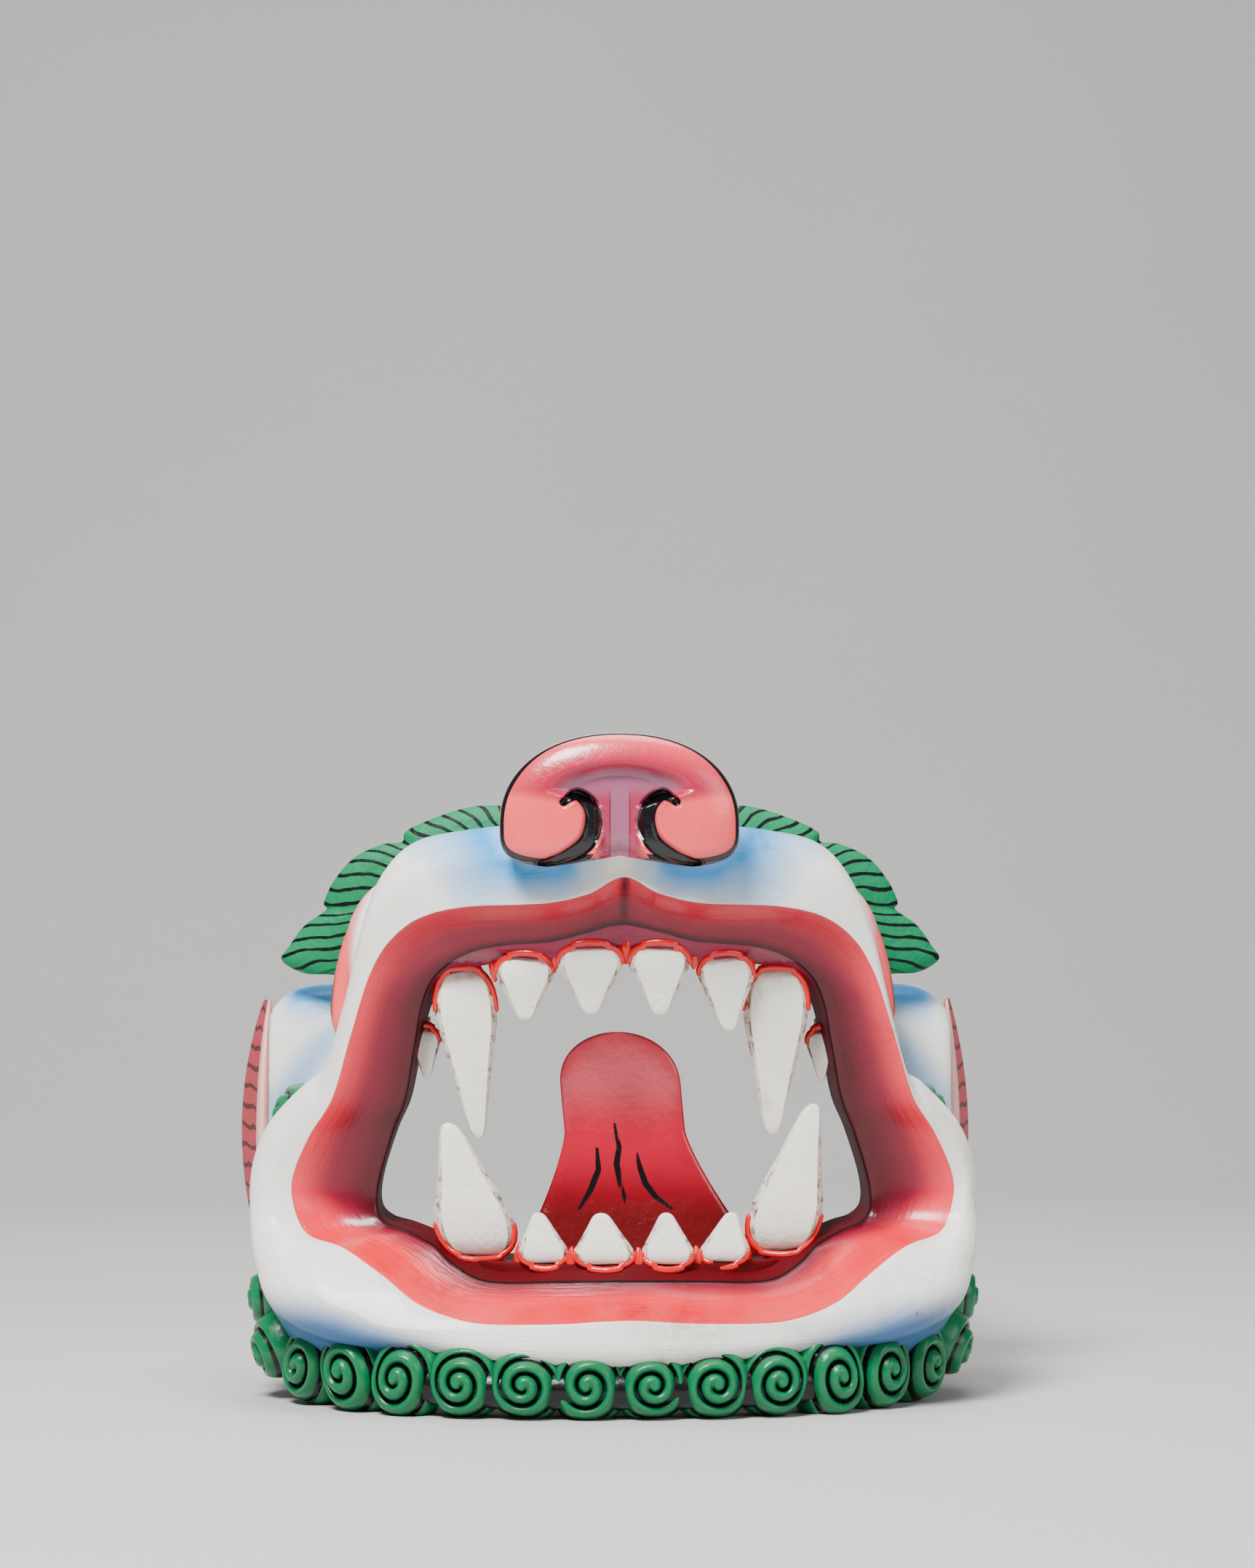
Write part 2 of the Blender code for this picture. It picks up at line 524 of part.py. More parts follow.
def curl(name, collection, place, tangent, normal, side):
    """A coiled lock: a low dome with one groove that winds in to its middle."""
    upright = normal.cross(tangent).normalized()
    if upright.z < 0:
        upright = -upright
    form = bmesh.new()

    def point(step, reach, depth):
        a = CURL_TAIL + 2 * math.pi * step / CURL_STEPS
        spot = tangent * (side * math.cos(a) * CURL_HALF[0]) + upright * (math.sin(a) * CURL_HALF[1])
        return form.verts.new(place + spot * reach + normal * depth)

    last = int(CURL_TURNS * CURL_STEPS)
    grooves, ridges, border = [], [], []
    for k in range(last + 1):
        spread = [CURL_HEART + (CURL_RIM - CURL_HEART) * (turn / (last + CURL_STEPS / 2)) ** 0.9
                  for turn in (k, k + CURL_STEPS / 2)]
        grooves.append(point(k, spread[0], CURL_DEPTH * (1 - 0.35 * spread[0] ** 2) - CURL_GROOVE))
        ridges.append(point(k, spread[1], CURL_DEPTH * (1 - 0.35 * spread[1] ** 2)))
    for k in range(last - CURL_STEPS, last):
        border.append(point(k, 1.0, CURL_ROOT))
    border.append(border[0])
    for k in range(last):
        form.faces.new((grooves[k], grooves[k + 1], ridges[k + 1], ridges[k]))
        outer = k + CURL_STEPS
        if outer < last:
            form.faces.new((ridges[k], ridges[k + 1], grooves[outer + 1], grooves[outer]))
        else:
            j = k - last + CURL_STEPS
            form.faces.new((ridges[k], ridges[k + 1], border[j + 1], border[j]))
    form.faces.new((ridges[last - CURL_STEPS], grooves[last], ridges[last], border[0]))
    heart = form.verts.new(place + normal * CURL_DEPTH)
    inside = grooves[:CURL_STEPS + 1] + [ridges[0]]
    for a, b in zip(inside, inside[1:] + inside[:1]):
        form.faces.new((a, b, heart))
    form.faces.new(border[:-1])
    bmesh.ops.recalc_face_normals(form, faces=form.faces)
    mesh = bpy.data.meshes.new(name)
    form.to_mesh(mesh)
    form.free()
    return new_object(name, collection, mesh)


def curls(collection):
    """Curls on a long roll that runs round the jaw and up behind the cheeks."""
    half = jaw_path()
    roll = [Vector(p) for p in spline(jaw_line() * (ROLL_INSET, 1, 1), np.linspace(0, len(JAW_LINE) - 1, 16))]
    line = [Vector((-p.x, p.y, p.z)) for p in roll[:0:-1]] + roll
    tube("curl_roll", collection, line, [ROLL_RADIUS] * len(line), 1)
    middle = Vector((0, 0.5 * MASK_DEPTH, 0.25 * MASK_HEIGHT))
    for k, point in enumerate(half):
        ahead = (Vector(half[min(k + 1, len(half) - 1)]) - Vector(half[max(k - 1, 0)])).normalized()
        out = Vector(point) - middle
        if k < CURLS_LEVEL:
            out.z = 0
        out = (out - ahead * out.dot(ahead)).normalized()
        for side in (-1, 1):
            place = Vector((side * point[0], point[1], point[2]))
            tangent = Vector((ahead.x, side * ahead.y, side * ahead.z))
            normal = Vector((side * out.x, out.y, out.z))
            curl("curl", collection, place, tangent, normal, side)


def tongue(collection):
    """A thin upright tongue: flared root, straight sides, round tip, its flat foot on the mouth's floor."""
    rings = []
    foot = MOUTH_FLOOR + SEAT_GAP
    for share in (0, 0.12, 0.26, 0.42, 0.60, 0.76, 0.88, 0.96, 1.0):
        flare = 0.5 * (TONGUE_WIDTH + (TONGUE_ROOT - TONGUE_WIDTH) * (1 - min(share / 0.55, 1)) ** 1.3)
        tip = math.sqrt(max(1 - max((share - 0.76) / 0.245, 0) ** 2.2, 0.004))
        half = flare * tip
        x = TONGUE_OFFSET * (1 - share) ** 1.3 + 0.0018
        y = TONGUE_BACK + 0.006 * math.sin(math.pi * share) + 0.010 * share
        thick = 0.5 * TONGUE_THICKNESS * (0.6 + 0.4 * tip)
        turn = np.arange(12) * math.pi / 6
        ring_x = x + half * np.sign(np.cos(turn)) * np.abs(np.cos(turn)) ** 0.7
        ring_y = y + thick * np.sign(np.sin(turn)) * np.abs(np.sin(turn)) ** 0.7
        rings.append(np.stack([ring_x, ring_y, np.full(12, foot + share * TONGUE_HEIGHT)], axis=1))
    return loft("tongue", collection, rings)


def ear(name, collection, side):
    """A leaf-shaped ear: its root flat against the temple, its free edge standing out behind."""
    rings = []
    turn = np.arange(12) * math.pi / 6
    run = 0.5 + 0.5 * np.cos(turn)
    for share in (0, 0.05, 0.14, 0.28, 0.44, 0.60, 0.75, 0.88, 0.96, 1.0):
        wide = EAR_WIDTH * math.sin(math.pi * (0.03 + 0.94 * share ** 0.85)) ** 0.65
        swell = math.sin(math.pi * (0.04 + 0.92 * share)) ** 0.7
        y = EAR_FRONT + EAR_BOW * (2 * share - 1) ** 2 + wide * run
        spread = EAR_SPREAD * ((run - EAR_ROOT).clip(0) / (1 - EAR_ROOT)) ** 1.3
        outer = 0.5 + 0.5 * np.sign(np.sin(turn)) * np.abs(np.sin(turn)) ** 0.8
        x = EAR_SEAT + swell * (spread + EAR_THICKNESS * outer)
        rings.append(np.stack([side * x, y, np.full_like(x, EAR_TOP - EAR_LENGTH * share)], axis=1))
    return loft(name, collection, rings)


def finish(piece, name, colour, roughness):
    """Give a piece its name, paint and smooth shading."""
    piece.name = name
    paint = bpy.data.materials.new(name)
    paint.use_nodes = True
    shader = paint.node_tree.nodes["Principled BSDF"]
    shader.inputs["Base Color"].default_value = (*colour, 1)
    shader.inputs["Roughness"].default_value = roughness
    piece.data.materials.clear()
    piece.data.materials.append(paint)
    piece.data.shade_smooth()
    piece.data.set_sharp_from_angle(angle=math.radians(35))


def combine(piece, collection, operation):
    """Join the whole collection to a piece, or cut it away."""
    step = piece.modifiers.new(operation.title(), "BOOLEAN")
    step.operation = operation
    step.solver = "MANIFOLD"
    step.operand_type = "COLLECTION"
    step.collection = collection
    return step


def outer_body(piece, collection):
    """The finished solid as a plain mesh, without crumbs or sealed pockets."""
    graph = bpy.context.evaluated_depsgraph_get()
    mesh = bpy.data.meshes.new_from_object(piece.evaluated_get(graph))
    form = bmesh.new()
    form.from_mesh(mesh)
    bmesh.ops.remove_doubles(form, verts=form.verts, dist=MERGE)
    bmesh.ops.dissolve_degenerate(form, edges=form.edges, dist=MERGE)
    bmesh.ops.triangulate(form, faces=form.faces)
    left = set(form.faces)
    bodies = []
    while left:
        queue = [left.pop()]
        body = set(queue)
        while queue:
            for edge in queue.pop().edges:
                for face in edge.link_faces:
                    if face in left and len(edge.link_faces) == 2:
                        left.discard(face)
                        body.add(face)
                        queue.append(face)
        bodies.append(body)
    bodies.sort(key=len)
    for body in bodies[:-1]:
        bmesh.ops.delete(form, geom=list(body), context="FACES")
    form.to_mesh(mesh)
    form.free()
    return new_object(piece.name, collection, mesh)


def main():
    for thing in list(bpy.data.objects):
        bpy.data.objects.remove(thing)
    scene = bpy.context.scene.collection
    collections = {}
    for name in ("foo_dog_mask", "carving", "cutters"):
        collections[name] = bpy.data.collections.new(name)
        scene.children.link(collections[name])
    model, carving, cutters = collections.values()

    jaw_block(carving)
    nose(carving)
    for side in (-1, 1):
        brow(carving, side)
        eye(carving, side)
        temple(carving, side)
    for place, teeth in (("upper", UPPER_TEETH), ("lower", LOWER_TEETH)):
        for row in teeth:
            tooth(place + "_tooth", carving, *row)
    curls(carving)
    nostrils(cutters)
    bpy.ops.mesh.primitive_cube_add(size=1, location=(0, MASK_DEPTH / 2, -0.05))
    saw = bpy.context.object
    saw.name = "base_saw_cut"
    saw.scale = (2 * MUZZLE_WIDTH, 2 * MASK_DEPTH, 0.1)
    for owner in list(saw.users_collection):
        owner.objects.unlink(saw)
    cutters.objects.link(saw)
    for thing in list(carving.objects) + list(cutters.objects):
        thing.hide_render = True
        thing.display_type = "WIRE"

    shell = head_shell(model)
    combine(shell, carving, "UNION")
    combine(shell, cutters, "DIFFERENCE")
    head = outer_body(shell, model)
    bpy.data.objects.remove(shell)
    finish(head, "mask_head", (0.82, 0.81, 0.77), 0.35)
    finish(tongue(model), "tongue", (0.75, 0.05, 0.09), 0.25)
    finish(ear("ear_left", model, -1), "ear_left", (0.62, 0.10, 0.13), 0.4)
    finish(ear("ear_right", model, 1), "ear_right", (0.62, 0.10, 0.13), 0.4)
    for thing in list(carving.objects) + list(cutters.objects):
        bpy.data.objects.remove(thing)
    low = min(v.co.y for piece in model.objects for v in piece.data.vertices)
    high = max(v.co.y for piece in model.objects for v in piece.data.vertices)
    for piece in model.objects:
        piece.data.transform(Matrix.Translation((0, -(low + high) / 2, 0)))


main()
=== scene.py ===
"""Foo dog dance mask, dressed: carved forms finer than the solids, and the paint on every surface.

Metres, +Z up, the face looks along -Y. Forms are made in the carving's own depth, where Y is the
distance behind the front of the chin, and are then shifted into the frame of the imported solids.
"""
import math

import bmesh
import bpy
import numpy as np
from bpy.props import FloatProperty, FloatVectorProperty, IntProperty, PointerProperty
from mathutils import Matrix, Vector


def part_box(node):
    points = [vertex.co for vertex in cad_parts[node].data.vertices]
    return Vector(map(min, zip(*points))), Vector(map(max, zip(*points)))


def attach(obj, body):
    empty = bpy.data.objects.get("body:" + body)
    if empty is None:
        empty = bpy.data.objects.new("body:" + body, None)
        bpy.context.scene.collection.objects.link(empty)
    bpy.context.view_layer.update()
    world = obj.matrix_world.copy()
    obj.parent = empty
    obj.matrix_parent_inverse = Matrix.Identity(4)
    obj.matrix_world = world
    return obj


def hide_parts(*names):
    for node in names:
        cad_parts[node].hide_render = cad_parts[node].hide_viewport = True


bl_info = {
    "name": "Foo Dog Mask",
    "version": (1, 0, 0),
    "blender": (4, 5, 0),
    "location": "View3D > Sidebar > Foo Dog Mask",
    "description": "Carves and paints a hollow wooden foo dog mask over its packed solids",
    "category": "Object",
}

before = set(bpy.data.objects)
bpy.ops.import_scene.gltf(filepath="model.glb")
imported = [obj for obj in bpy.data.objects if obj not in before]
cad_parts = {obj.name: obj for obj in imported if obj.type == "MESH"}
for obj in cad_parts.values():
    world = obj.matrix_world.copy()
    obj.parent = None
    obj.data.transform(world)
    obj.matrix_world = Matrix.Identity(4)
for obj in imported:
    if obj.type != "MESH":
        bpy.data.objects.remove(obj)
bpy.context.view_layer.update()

# Overall sizes, the same as the solids'
MUZZLE_WIDTH = 0.414
MASK_HEIGHT = 0.378
MASK_DEPTH = 0.330
SAW_ALLOWANCE = 0.004
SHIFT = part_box("mask_head")[1][1] - MASK_DEPTH

# Lips and muzzle
LIP_FRONT = (0.010, 0.028)
LIP_SWEEP = 0.075
MOUTH_DRIFT = (0.0065, 0.0025)
LIP_HOLLOW = 0.004

# Half outlines from the top of the mouth round to the chin, in percent of half MUZZLE_WIDTH and MASK_HEIGHT
LIP_EDGE = [(0, 79.0), (9.7, 76.5), (21.7, 75.1), (41.1, 74.6), (54.1, 73.0), (63.0, 69.4), (68.9, 63.9),
            (74.3, 54.6), (79.2, 45.8), (85.5, 40.2), (90.3, 33.9), (90.1, 29.5), (86.3, 25.5), (76.3, 23.8),
            (65.5, 20.0), (55.5, 16.1), (41.1, 13.9), (19.3, 14.0), (0, 14.6)]
CREASE = [(0, 72.1), (10.6, 70.9), (19.8, 69.6), (34.5, 68.8), (44.0, 67.2), (51.4, 64.0), (54.9, 59.9),
          (57.0, 53.7), (59.7, 45.4), (63.3, 40.2), (67.1, 33.1), (67.6, 28.7), (64.7, 26.7), (59.2, 25.7),
          (52.2, 23.8), (46.9, 21.2), (37.7, 19.0), (19.3, 19.2), (0, 19.4)]
SHOULDER = [(0, 87.8), (14.5, 87.3), (29.0, 86.5), (41.5, 85.7), (54.1, 84.1), (62.3, 80.2), (68.1, 73.5),
            (74.4, 59.3), (79.7, 49.7), (85.0, 47.5), (94.7, 41.8), (99.3, 35.7), (100, 29.1), (98.3, 21.7),
            (92.8, 14.8), (77.3, 10.6), (50.7, 9.3), (24.2, 8.2), (0, 7.9)]
CREASE_DEPTH = (0.018, 0.020, 0.026, 0.036, 0.038, 0.032, 0.026)
SHOULDER_SETBACK = (0.032, 0.030, 0.020, 0.018, 0.018, 0.012, 0.002)
GUM_WIDTH = (0.014, 0.013, 0.006, 0.003, 0.003, 0.010, 0.012)
GUM_RETURN = (0.010, 0.010, 0.022, 0.040, 0.045, 0.020, 0.010)

# Back of the head
ARCH_POWER = 3.0
FOOT_AT = 0.78
NECK_ARCH = (0.344, 0.314, 0.145, 0.036)
TEMPLE_ARCH = (0.356, 0.322, 0.190, 0.056)
REAR_ARCH = (0.352, 0.306, MASK_DEPTH, 0.074)
REAR_FOOT = 0.275
CORNER = (1.0, 0.35, 1.0, 0.25, 1.0, 1.0, 1.0, 1.0, 1.0)
WIDEST_RING = 5
PROFILE_RUN = (0, 0.012, 0.026, 0.042, 0.056, 0.078, 0.150, 0.205, 0.330)
PROFILE_STEPS = (8, 10, 12, 10, 10, 18, 8, 12)

# Jaw block and tongue
MOUTH_FLOOR = 0.082
JAW_BLOCK = (0.205, 0.068, 0.114)
JAW_BLOCK_RINGS = [(0, 0), (0, 0.2), (0, 0.8), (0, 0.96), (0.004, 0.99), (0.012, 1.0), (0.7, 1.0)]
TONGUE_FOOT = 0.0823
TONGUE_HEIGHT = 0.126
TONGUE_WIDTH = 0.069
TONGUE_ROOT = 0.136
TONGUE_THICKNESS = 0.011
TONGUE_BACK = 0.1015
TONGUE_OFFSET = 0.0125
TONGUE_BOW = 0.006
TONGUE_LEAN = 0.010
TONGUE_CROWN = 0.0035
TONGUE_BRUSH = 0.0013
UNMARKED = 9.0
TONGUE_LINES = [[(0.0000, 0.1560), (0.0029, 0.1427), (0.0013, 0.1332), (0.0037, 0.1205), (0.0091, 0.1041)],
                [(-0.0098, 0.1420), (-0.0090, 0.1300), (-0.0135, 0.1189), (-0.0201, 0.1082)],
                [(0.0119, 0.1420), (0.0140, 0.1332), (0.0177, 0.1222), (0.0238, 0.1144), (0.0325, 0.1082)]]

# Teeth: place of the root, half width, place of the tip, root height, tip height
UPPER_TEETH = [(-0.1080, 0.0085, -0.1065, 0.2105, 0.1825), (-0.0860, 0.0176, -0.0775, 0.2440, 0.1500),
               (-0.0515, 0.0165, -0.0514, 0.2530, 0.2175), (-0.0150, 0.0184, -0.0150, 0.2590, 0.2210),
               (0.0235, 0.0172, 0.0238, 0.2590, 0.2205), (0.0610, 0.0158, 0.0630, 0.2530, 0.2110),
               (0.0910, 0.0185, 0.0884, 0.2440, 0.1520), (0.1172, 0.0080, 0.1180, 0.2090, 0.1805)]
LOWER_TEETH = [(-0.0765, 0.0225, -0.0945, 0.0850, 0.1590), (-0.0407, 0.0140, -0.0441, 0.0820, 0.1104),
               (-0.0072, 0.0168, -0.0093, 0.0820, 0.1108), (0.0282, 0.0146, 0.0270, 0.0820, 0.1108),
               (0.0594, 0.0138, 0.0642, 0.0820, 0.1100), (0.0925, 0.0210, 0.1120, 0.0870, 0.1690)]
TOOTH_THICKNESS = 0.42
TOOTH_STAND = 0.007
TOOTH_SINK = (0.005, 0.007)
GUM_RISE = 0.0014            # how far a bead runs past a tooth's root, and again in its middle
GUM_HUG = 0.006              # a bead lies on the gum where that is this near
# Wedges of gum between teeth: rise past the roots and radius
WEDGE = [(0.003, 0.0036), (-0.001, 0.0036), (-0.005, 0.0028), (-0.009, 0.0012)]
WEDGE_BACK = 0.0080
TOOTH_SECTION = [(-1.0, 0.0), (-0.80, -0.85), (0.80, -0.85), (1.0, 0.0), (0.62, 1.0), (-0.62, 1.0)]
# Along a tooth from its buried root to its tip: share of its length, of its width, of TOOTH_SINK
TOOTH_SIZE = [(-1, 0.40, 1.0), (-0.03, 0.40, 0.6), (0.0, 0.56, 0.4), (0.025, 0.70, 0.2), (0.06, 0.82, 0.05),
              (0.11, 0.92, 0), (0.17, 0.98, 0), (0.24, 1.0, 0), (0.31, 0.97, 0), (0.42, 0.85, 0),
              (0.55, 0.70, 0), (0.68, 0.555, 0), (0.79, 0.44, 0), (0.88, 0.345, 0), (0.94, 0.27, 0),
              (0.98, 0.18, 0), (1.0, 0.07, 0)]

# Nose
NOSE_WIDTH = 0.132
NOSE_DROP = 0.0745
NOSE_MIDDLE = 0.0505
NOSE_REACH = 0.150
NOSE_NOTCH = 0.007
NOSE_CORNER = (2.2, 4.0)
NOSE_ROLL = 0.014
NOSE_HOLLOW = 0.009
HOLLOW_TOP = 0.3585
HOLLOW_HALF = 0.034
SEPTUM_HALF = 0.011
PIT_LEVEL = 0.344
NOSTRIL_RADIUS = 0.0050
NOSTRIL_DEPTH = 0.006
NOSTRIL = [(-0.0310, 0.3400), (-0.0235, 0.3440), (-0.0165, 0.3380), (-0.0145, 0.3285), (-0.0185, 0.3175),
           (-0.0300, 0.3100), (-0.0430, 0.3065)]
BLUE_BY_NOSE = [(-0.100, 0.340), (-0.086, 0.335), (-0.076, 0.322), (-0.069, 0.309), (-0.052, 0.3000),
                (-0.034, 0.3010), (-0.021, 0.3070)]
NOSE_FRONT = LIP_FRONT[1] - 0.012
NOSE_AROUND = 240
# Rings of the bridge from its back to the nose's edge: share of the nose's outline, depth, how far lower
BRIDGE = [(0.42, NOSE_REACH, 0.014), (0.50, 0.100, 0.010), (0.72, NOSE_FRONT + 0.040, 0.004),
          (0.97, NOSE_FRONT + 0.016, 0), (1.0, NOSE_FRONT, 0)]
BRIDGE_ROWS = 40
FAR = 3.0                    # a note's value well away from a line

# Brows, eyes and temples
BROW_THICKNESS = 0.026
BROW_AT = 0.150
BROW_SWEEP = 0.020
BROW = [(0.020, 0.3350), (0.067, 0.3375), (0.085, 0.3360), (0.105, 0.3295), (0.1195, 0.3225),
        (0.1215, 0.3165), (0.133, 0.3150), (0.149, 0.3075), (0.161, 0.2940), (0.167, 0.2810),
        (0.1655, 0.2770), (0.178, 0.2680), (0.187, 0.2560), (0.1915, 0.2475), (0.178, 0.2400),
        (0.160, 0.2405)]
EYE_HALF = (0.033, 0.018, 0.045)
EYE_AT = (0.121, 0.122, 0.252)
UPPER_LID = [(0.084, 0.282), (0.106, 0.294), (0.130, 0.288), (0.146, 0.267), (0.1535, 0.243), (0.1565, 0.220),
             (0.153, 0.206)]
LOWER_LID = [(0.084, 0.282), (0.088, 0.262), (0.108, 0.238), (0.132, 0.216), (0.153, 0.206)]
LID_AT = 0.121
LID_RADIUS = 0.0055
TEMPLE_WIDTH = MUZZLE_WIDTH - 0.004
TEMPLE_SWELL = (0.034, 0.094)
TEMPLE_POWER = 4.5
TEMPLE_AT = (0.196, 0.138)

# Ears
EAR_SEAT = MUZZLE_WIDTH / 2 - 0.0075
EAR_LENGTH = 0.158
EAR_WIDTH = 0.070
EAR_THICKNESS = 0.010
EAR_TOP = 0.222
EAR_FRONT = 0.196
EAR_BOW = 0.012
EAR_ROOT = 0.25
EAR_SPREAD = 0.0136

# Curls
CURL_SPACING = 0.0345
CURLS_LEVEL = 6
CURL_DEPTH = 0.0165
CURL_ROOT = -0.010
CURL_GROOVE = 0.0055
CURL_TURNS = 2.75
CURL_TAIL = math.radians(115)
CURL_UNIT = 0.02             # a lock's mesh is this deep where its own height says 1
CURL_LIFT = 0.0035           # how far the level curls stand over their line
CURL_TALLER = (1.12, 1.30)   # growth in height: of most curls, of the last level ones
CURL_TALLER_FROM = 3
CURL_SPIN = (-0.45, 0.35)
ROLL_RADIUS = 0.0125
ROLL_INSET = 0.945
ROLL_END = -5                # steps of the roll left off below the sideburn's end
# Half line of the curls, from under the chin to the sideburn: percent of half MUZZLE_WIDTH, depth, height
JAW_LINE = [(0, 0.019, 0.016), (19.3, 0.021, 0.016), (38.6, 0.027, 0.0165), (56.0, 0.040, 0.0175),
            (71.0, 0.061, 0.019), (82.6, 0.085, 0.0205), (90.8, 0.108, 0.028), (93.7, 0.128, 0.048),
            (92.8, 0.139, 0.076), (91.3, 0.142, 0.108), (89.1, 0.143, 0.135), (86.5, 0.145, 0.158),
            (82.6, 0.145, 0.178)]

SIDES = ((-1, "left"), (1, "right"))

# Camera, read off the photograph: level with the top of the muzzle and a little to its left
CAMERA_DISTANCE = 2.5
CAMERA_HEIGHT = 0.35
CAMERA_TURN = 0.035
CAMERA_SHIFT = 0.0038
FOCAL_LENGTH = 105


def paint(red, green, blue):
    """A colour given in display values, as Blender's linear one."""
    shares = (red / 255, green / 255, blue / 255)
    return tuple(v / 12.92 if v <= 0.04 else ((v + 0.055) / 1.055) ** 2.4 for v in shares)


def colour_setting(name, description, *display):
    return FloatVectorProperty(name=name, description=description, subtype="COLOR", size=3, min=0, max=1,
                               default=paint(*display))


def length_setting(name, description, default, low, high):
    return FloatProperty(name=name, description=description, default=default, min=low, max=high,
                         unit="LENGTH")


def share_setting(name, description):
    return FloatProperty(name=name, description=description, default=0.5, min=0, max=1, subtype="FACTOR")


class FooDogSizes(bpy.types.PropertyGroup):
    wall: length_setting("Wall", "Thickness of the carved wall of the head", 0.013, 0.004, 0.03)
    around: IntProperty(name="Points round the head", description="Fineness of the head's skin", default=360,
                        min=72, max=480)
    curl_width: length_setting("Curl width", "Half width of one curl of the beard", 0.0204, 0.01, 0.03)
    curl_height: length_setting("Curl height", "Half height of one curl of the beard", 0.0195, 0.01, 0.03)
    tooth_bevel: length_setting("Tooth bevel", "Width of the softened edges of the teeth", 0.0012, 0, 0.003)
    gum_bead: length_setting("Gum bead", "Radius of the red bead round the teeth", 0.0021, 0.0005, 0.004)
    strokes: share_setting("Brush strokes", "How strongly the brush strokes show")
    dirt: share_setting("Dirt", "How much old dirt lies in the paint")


class FooDogColours(bpy.types.PropertyGroup):
    white: colour_setting("White", "Ground colour of the face", 247, 245, 236)
    blue: colour_setting("Blue", "Shading round the nose, temples and jaw", 0, 152, 226)
    blue_deep: colour_setting("Deep blue", "Blue shading low on the cheeks, above the curls", 0, 92, 150)
    lip: colour_setting("Lip", "Pink of the lips", 250, 54, 72)
    lip_low: colour_setting("Lower lip", "Lighter pink of the lower lip", 248, 26, 44)
    # lip_rose and lip_shade also stand for painted shade on the upper lip and at the mouth's sides.
    lip_rose: colour_setting("Lip rose", "Rose of a lip on its way to the gum", 136, 16, 46)
    lip_shade: colour_setting("Lip shade", "Deep red where a lip meets the gum", 70, 0, 14)
    gum: colour_setting("Gum", "Mauve of the upper gum", 140, 42, 72)
    gum_low: colour_setting("Lower gum", "Maroon of the lower gum", 92, 2, 14)
    bead: colour_setting("Gum bead", "Red bead round the teeth", 220, 0, 8)
    nose: colour_setting("Nose", "Salmon of the nose", 255, 84, 90)
    # Painted shade: crimson where the nose drops under its top rim into the hollow, and down the septum's
    # sides.
    flush: colour_setting("Nose flush", "Crimson above the nostrils", 176, 10, 60)
    lilac: colour_setting("Nose hollow", "Lilac of the hollow between the nostrils", 160, 92, 120)
    # Black also stands for painted shade inside the mouth and in the gaps between the curls.
    black: colour_setting("Black", "Lines and nostrils", 6, 7, 11)
    tooth: colour_setting("Tooth", "Ivory white of the teeth", 250, 248, 236)
    tongue: colour_setting("Tongue", "Pink of the tongue's tip", 255, 84, 104)
    tongue_rose: colour_setting("Tongue middle", "Crimson of the tongue's middle", 214, 0, 52)
    tongue_deep: colour_setting("Tongue root", "Dark red of the tongue's root", 104, 0, 5)
    brow: colour_setting("Brow", "Green of the brows", 0, 128, 80)
    beard: colour_setting("Beard", "Green of the curls", 0, 104, 58)
    ear: colour_setting("Ear", "Pink of the ears", 196, 54, 68)
    rim: colour_setting("Eye rim", "Pink of the eyelids", 255, 88, 90)
    dirt: colour_setting("Dirt", "Brown of old dirt", 112, 74, 38)
    wood: colour_setting("Wood", "Bare wood inside the head", 150, 108, 66)


def sizes():
    return bpy.context.scene.foo_dog_sizes


def paints(name):
    """A colour setting as the four numbers that a shader's socket takes."""
    return (*getattr(bpy.context.scene.foo_dog_colours, name), 1)


def spline(knots, at, closed=False):
    """Catmull-Rom curve through knots, read at the given places counted in knots."""
    knots = np.asarray(knots, float)
    at = np.asarray(at, float)
    count = len(knots)
    low = np.floor(at).astype(int)
    if not closed:
        low = np.clip(low, 0, count - 2)
    part = at - low
    if knots.ndim > 1:
        part = part.reshape(part.shape + (1,) * (knots.ndim - 1))

    def pick(k):
        return knots[k % count] if closed else knots[np.clip(k, 0, count - 1)]
    a, b, c, d = pick(low - 1), pick(low), pick(low + 1), pick(low + 2)
    return 0.5 * (2 * b + (c - a) * part + (2 * a - 5 * b + 4 * c - d) * part ** 2
                  + (3 * b - a - 3 * c + d) * part ** 3)


def along(values, share):
    """A value set at even places, read at shares from 0 to 1."""
    return spline(values, np.asarray(share) * (len(values) - 1))


def measured(points, count):
    """A finer path through points, and how far along it each of its places lies."""
    fine = spline(points, np.linspace(0, len(points) - 1, count))
    return fine, np.concatenate([[0], np.cumsum(np.linalg.norm(np.diff(fine, axis=0), axis=1))])


def read_off(fine, length, at):
    return np.stack([np.interp(at, length, fine[:, k]) for k in range(fine.shape[1])], axis=1)


def evenly(points, count):
    """A path through points, cut into equal steps."""
    fine, length = measured(points, 12 * len(points))
    return read_off(fine, length, np.linspace(0, length[-1], count))


def fade(t):
    """Smooth step from 0 to 1 as t runs from -1 to 1."""
    t = np.clip(0.5 + 0.5 * t, 0, 1)
    return t * t * (3 - 2 * t)


def bent(values, power):
    """A power that keeps the sign."""
    return np.sign(values) * np.abs(values) ** power


def near_path(x, z, path):
    """Distance in the front view from places to a path, and how far along the path the nearest point is."""
    best = np.full(np.shape(x), 1e9)
    share = np.zeros(np.shape(x))
    for k, ((ax, az), (bx, bz)) in enumerate(zip(path, path[1:])):
        run = (bx - ax) ** 2 + (bz - az) ** 2
        t = np.clip(((x - ax) * (bx - ax) + (z - az) * (bz - az)) / run, 0, 1)
        gap = np.hypot(x - ax - t * (bx - ax), z - az - t * (bz - az))
        share = np.where(gap < best, (k + t) / (len(path) - 1), share)
        best = np.minimum(gap, best)
    return best, share


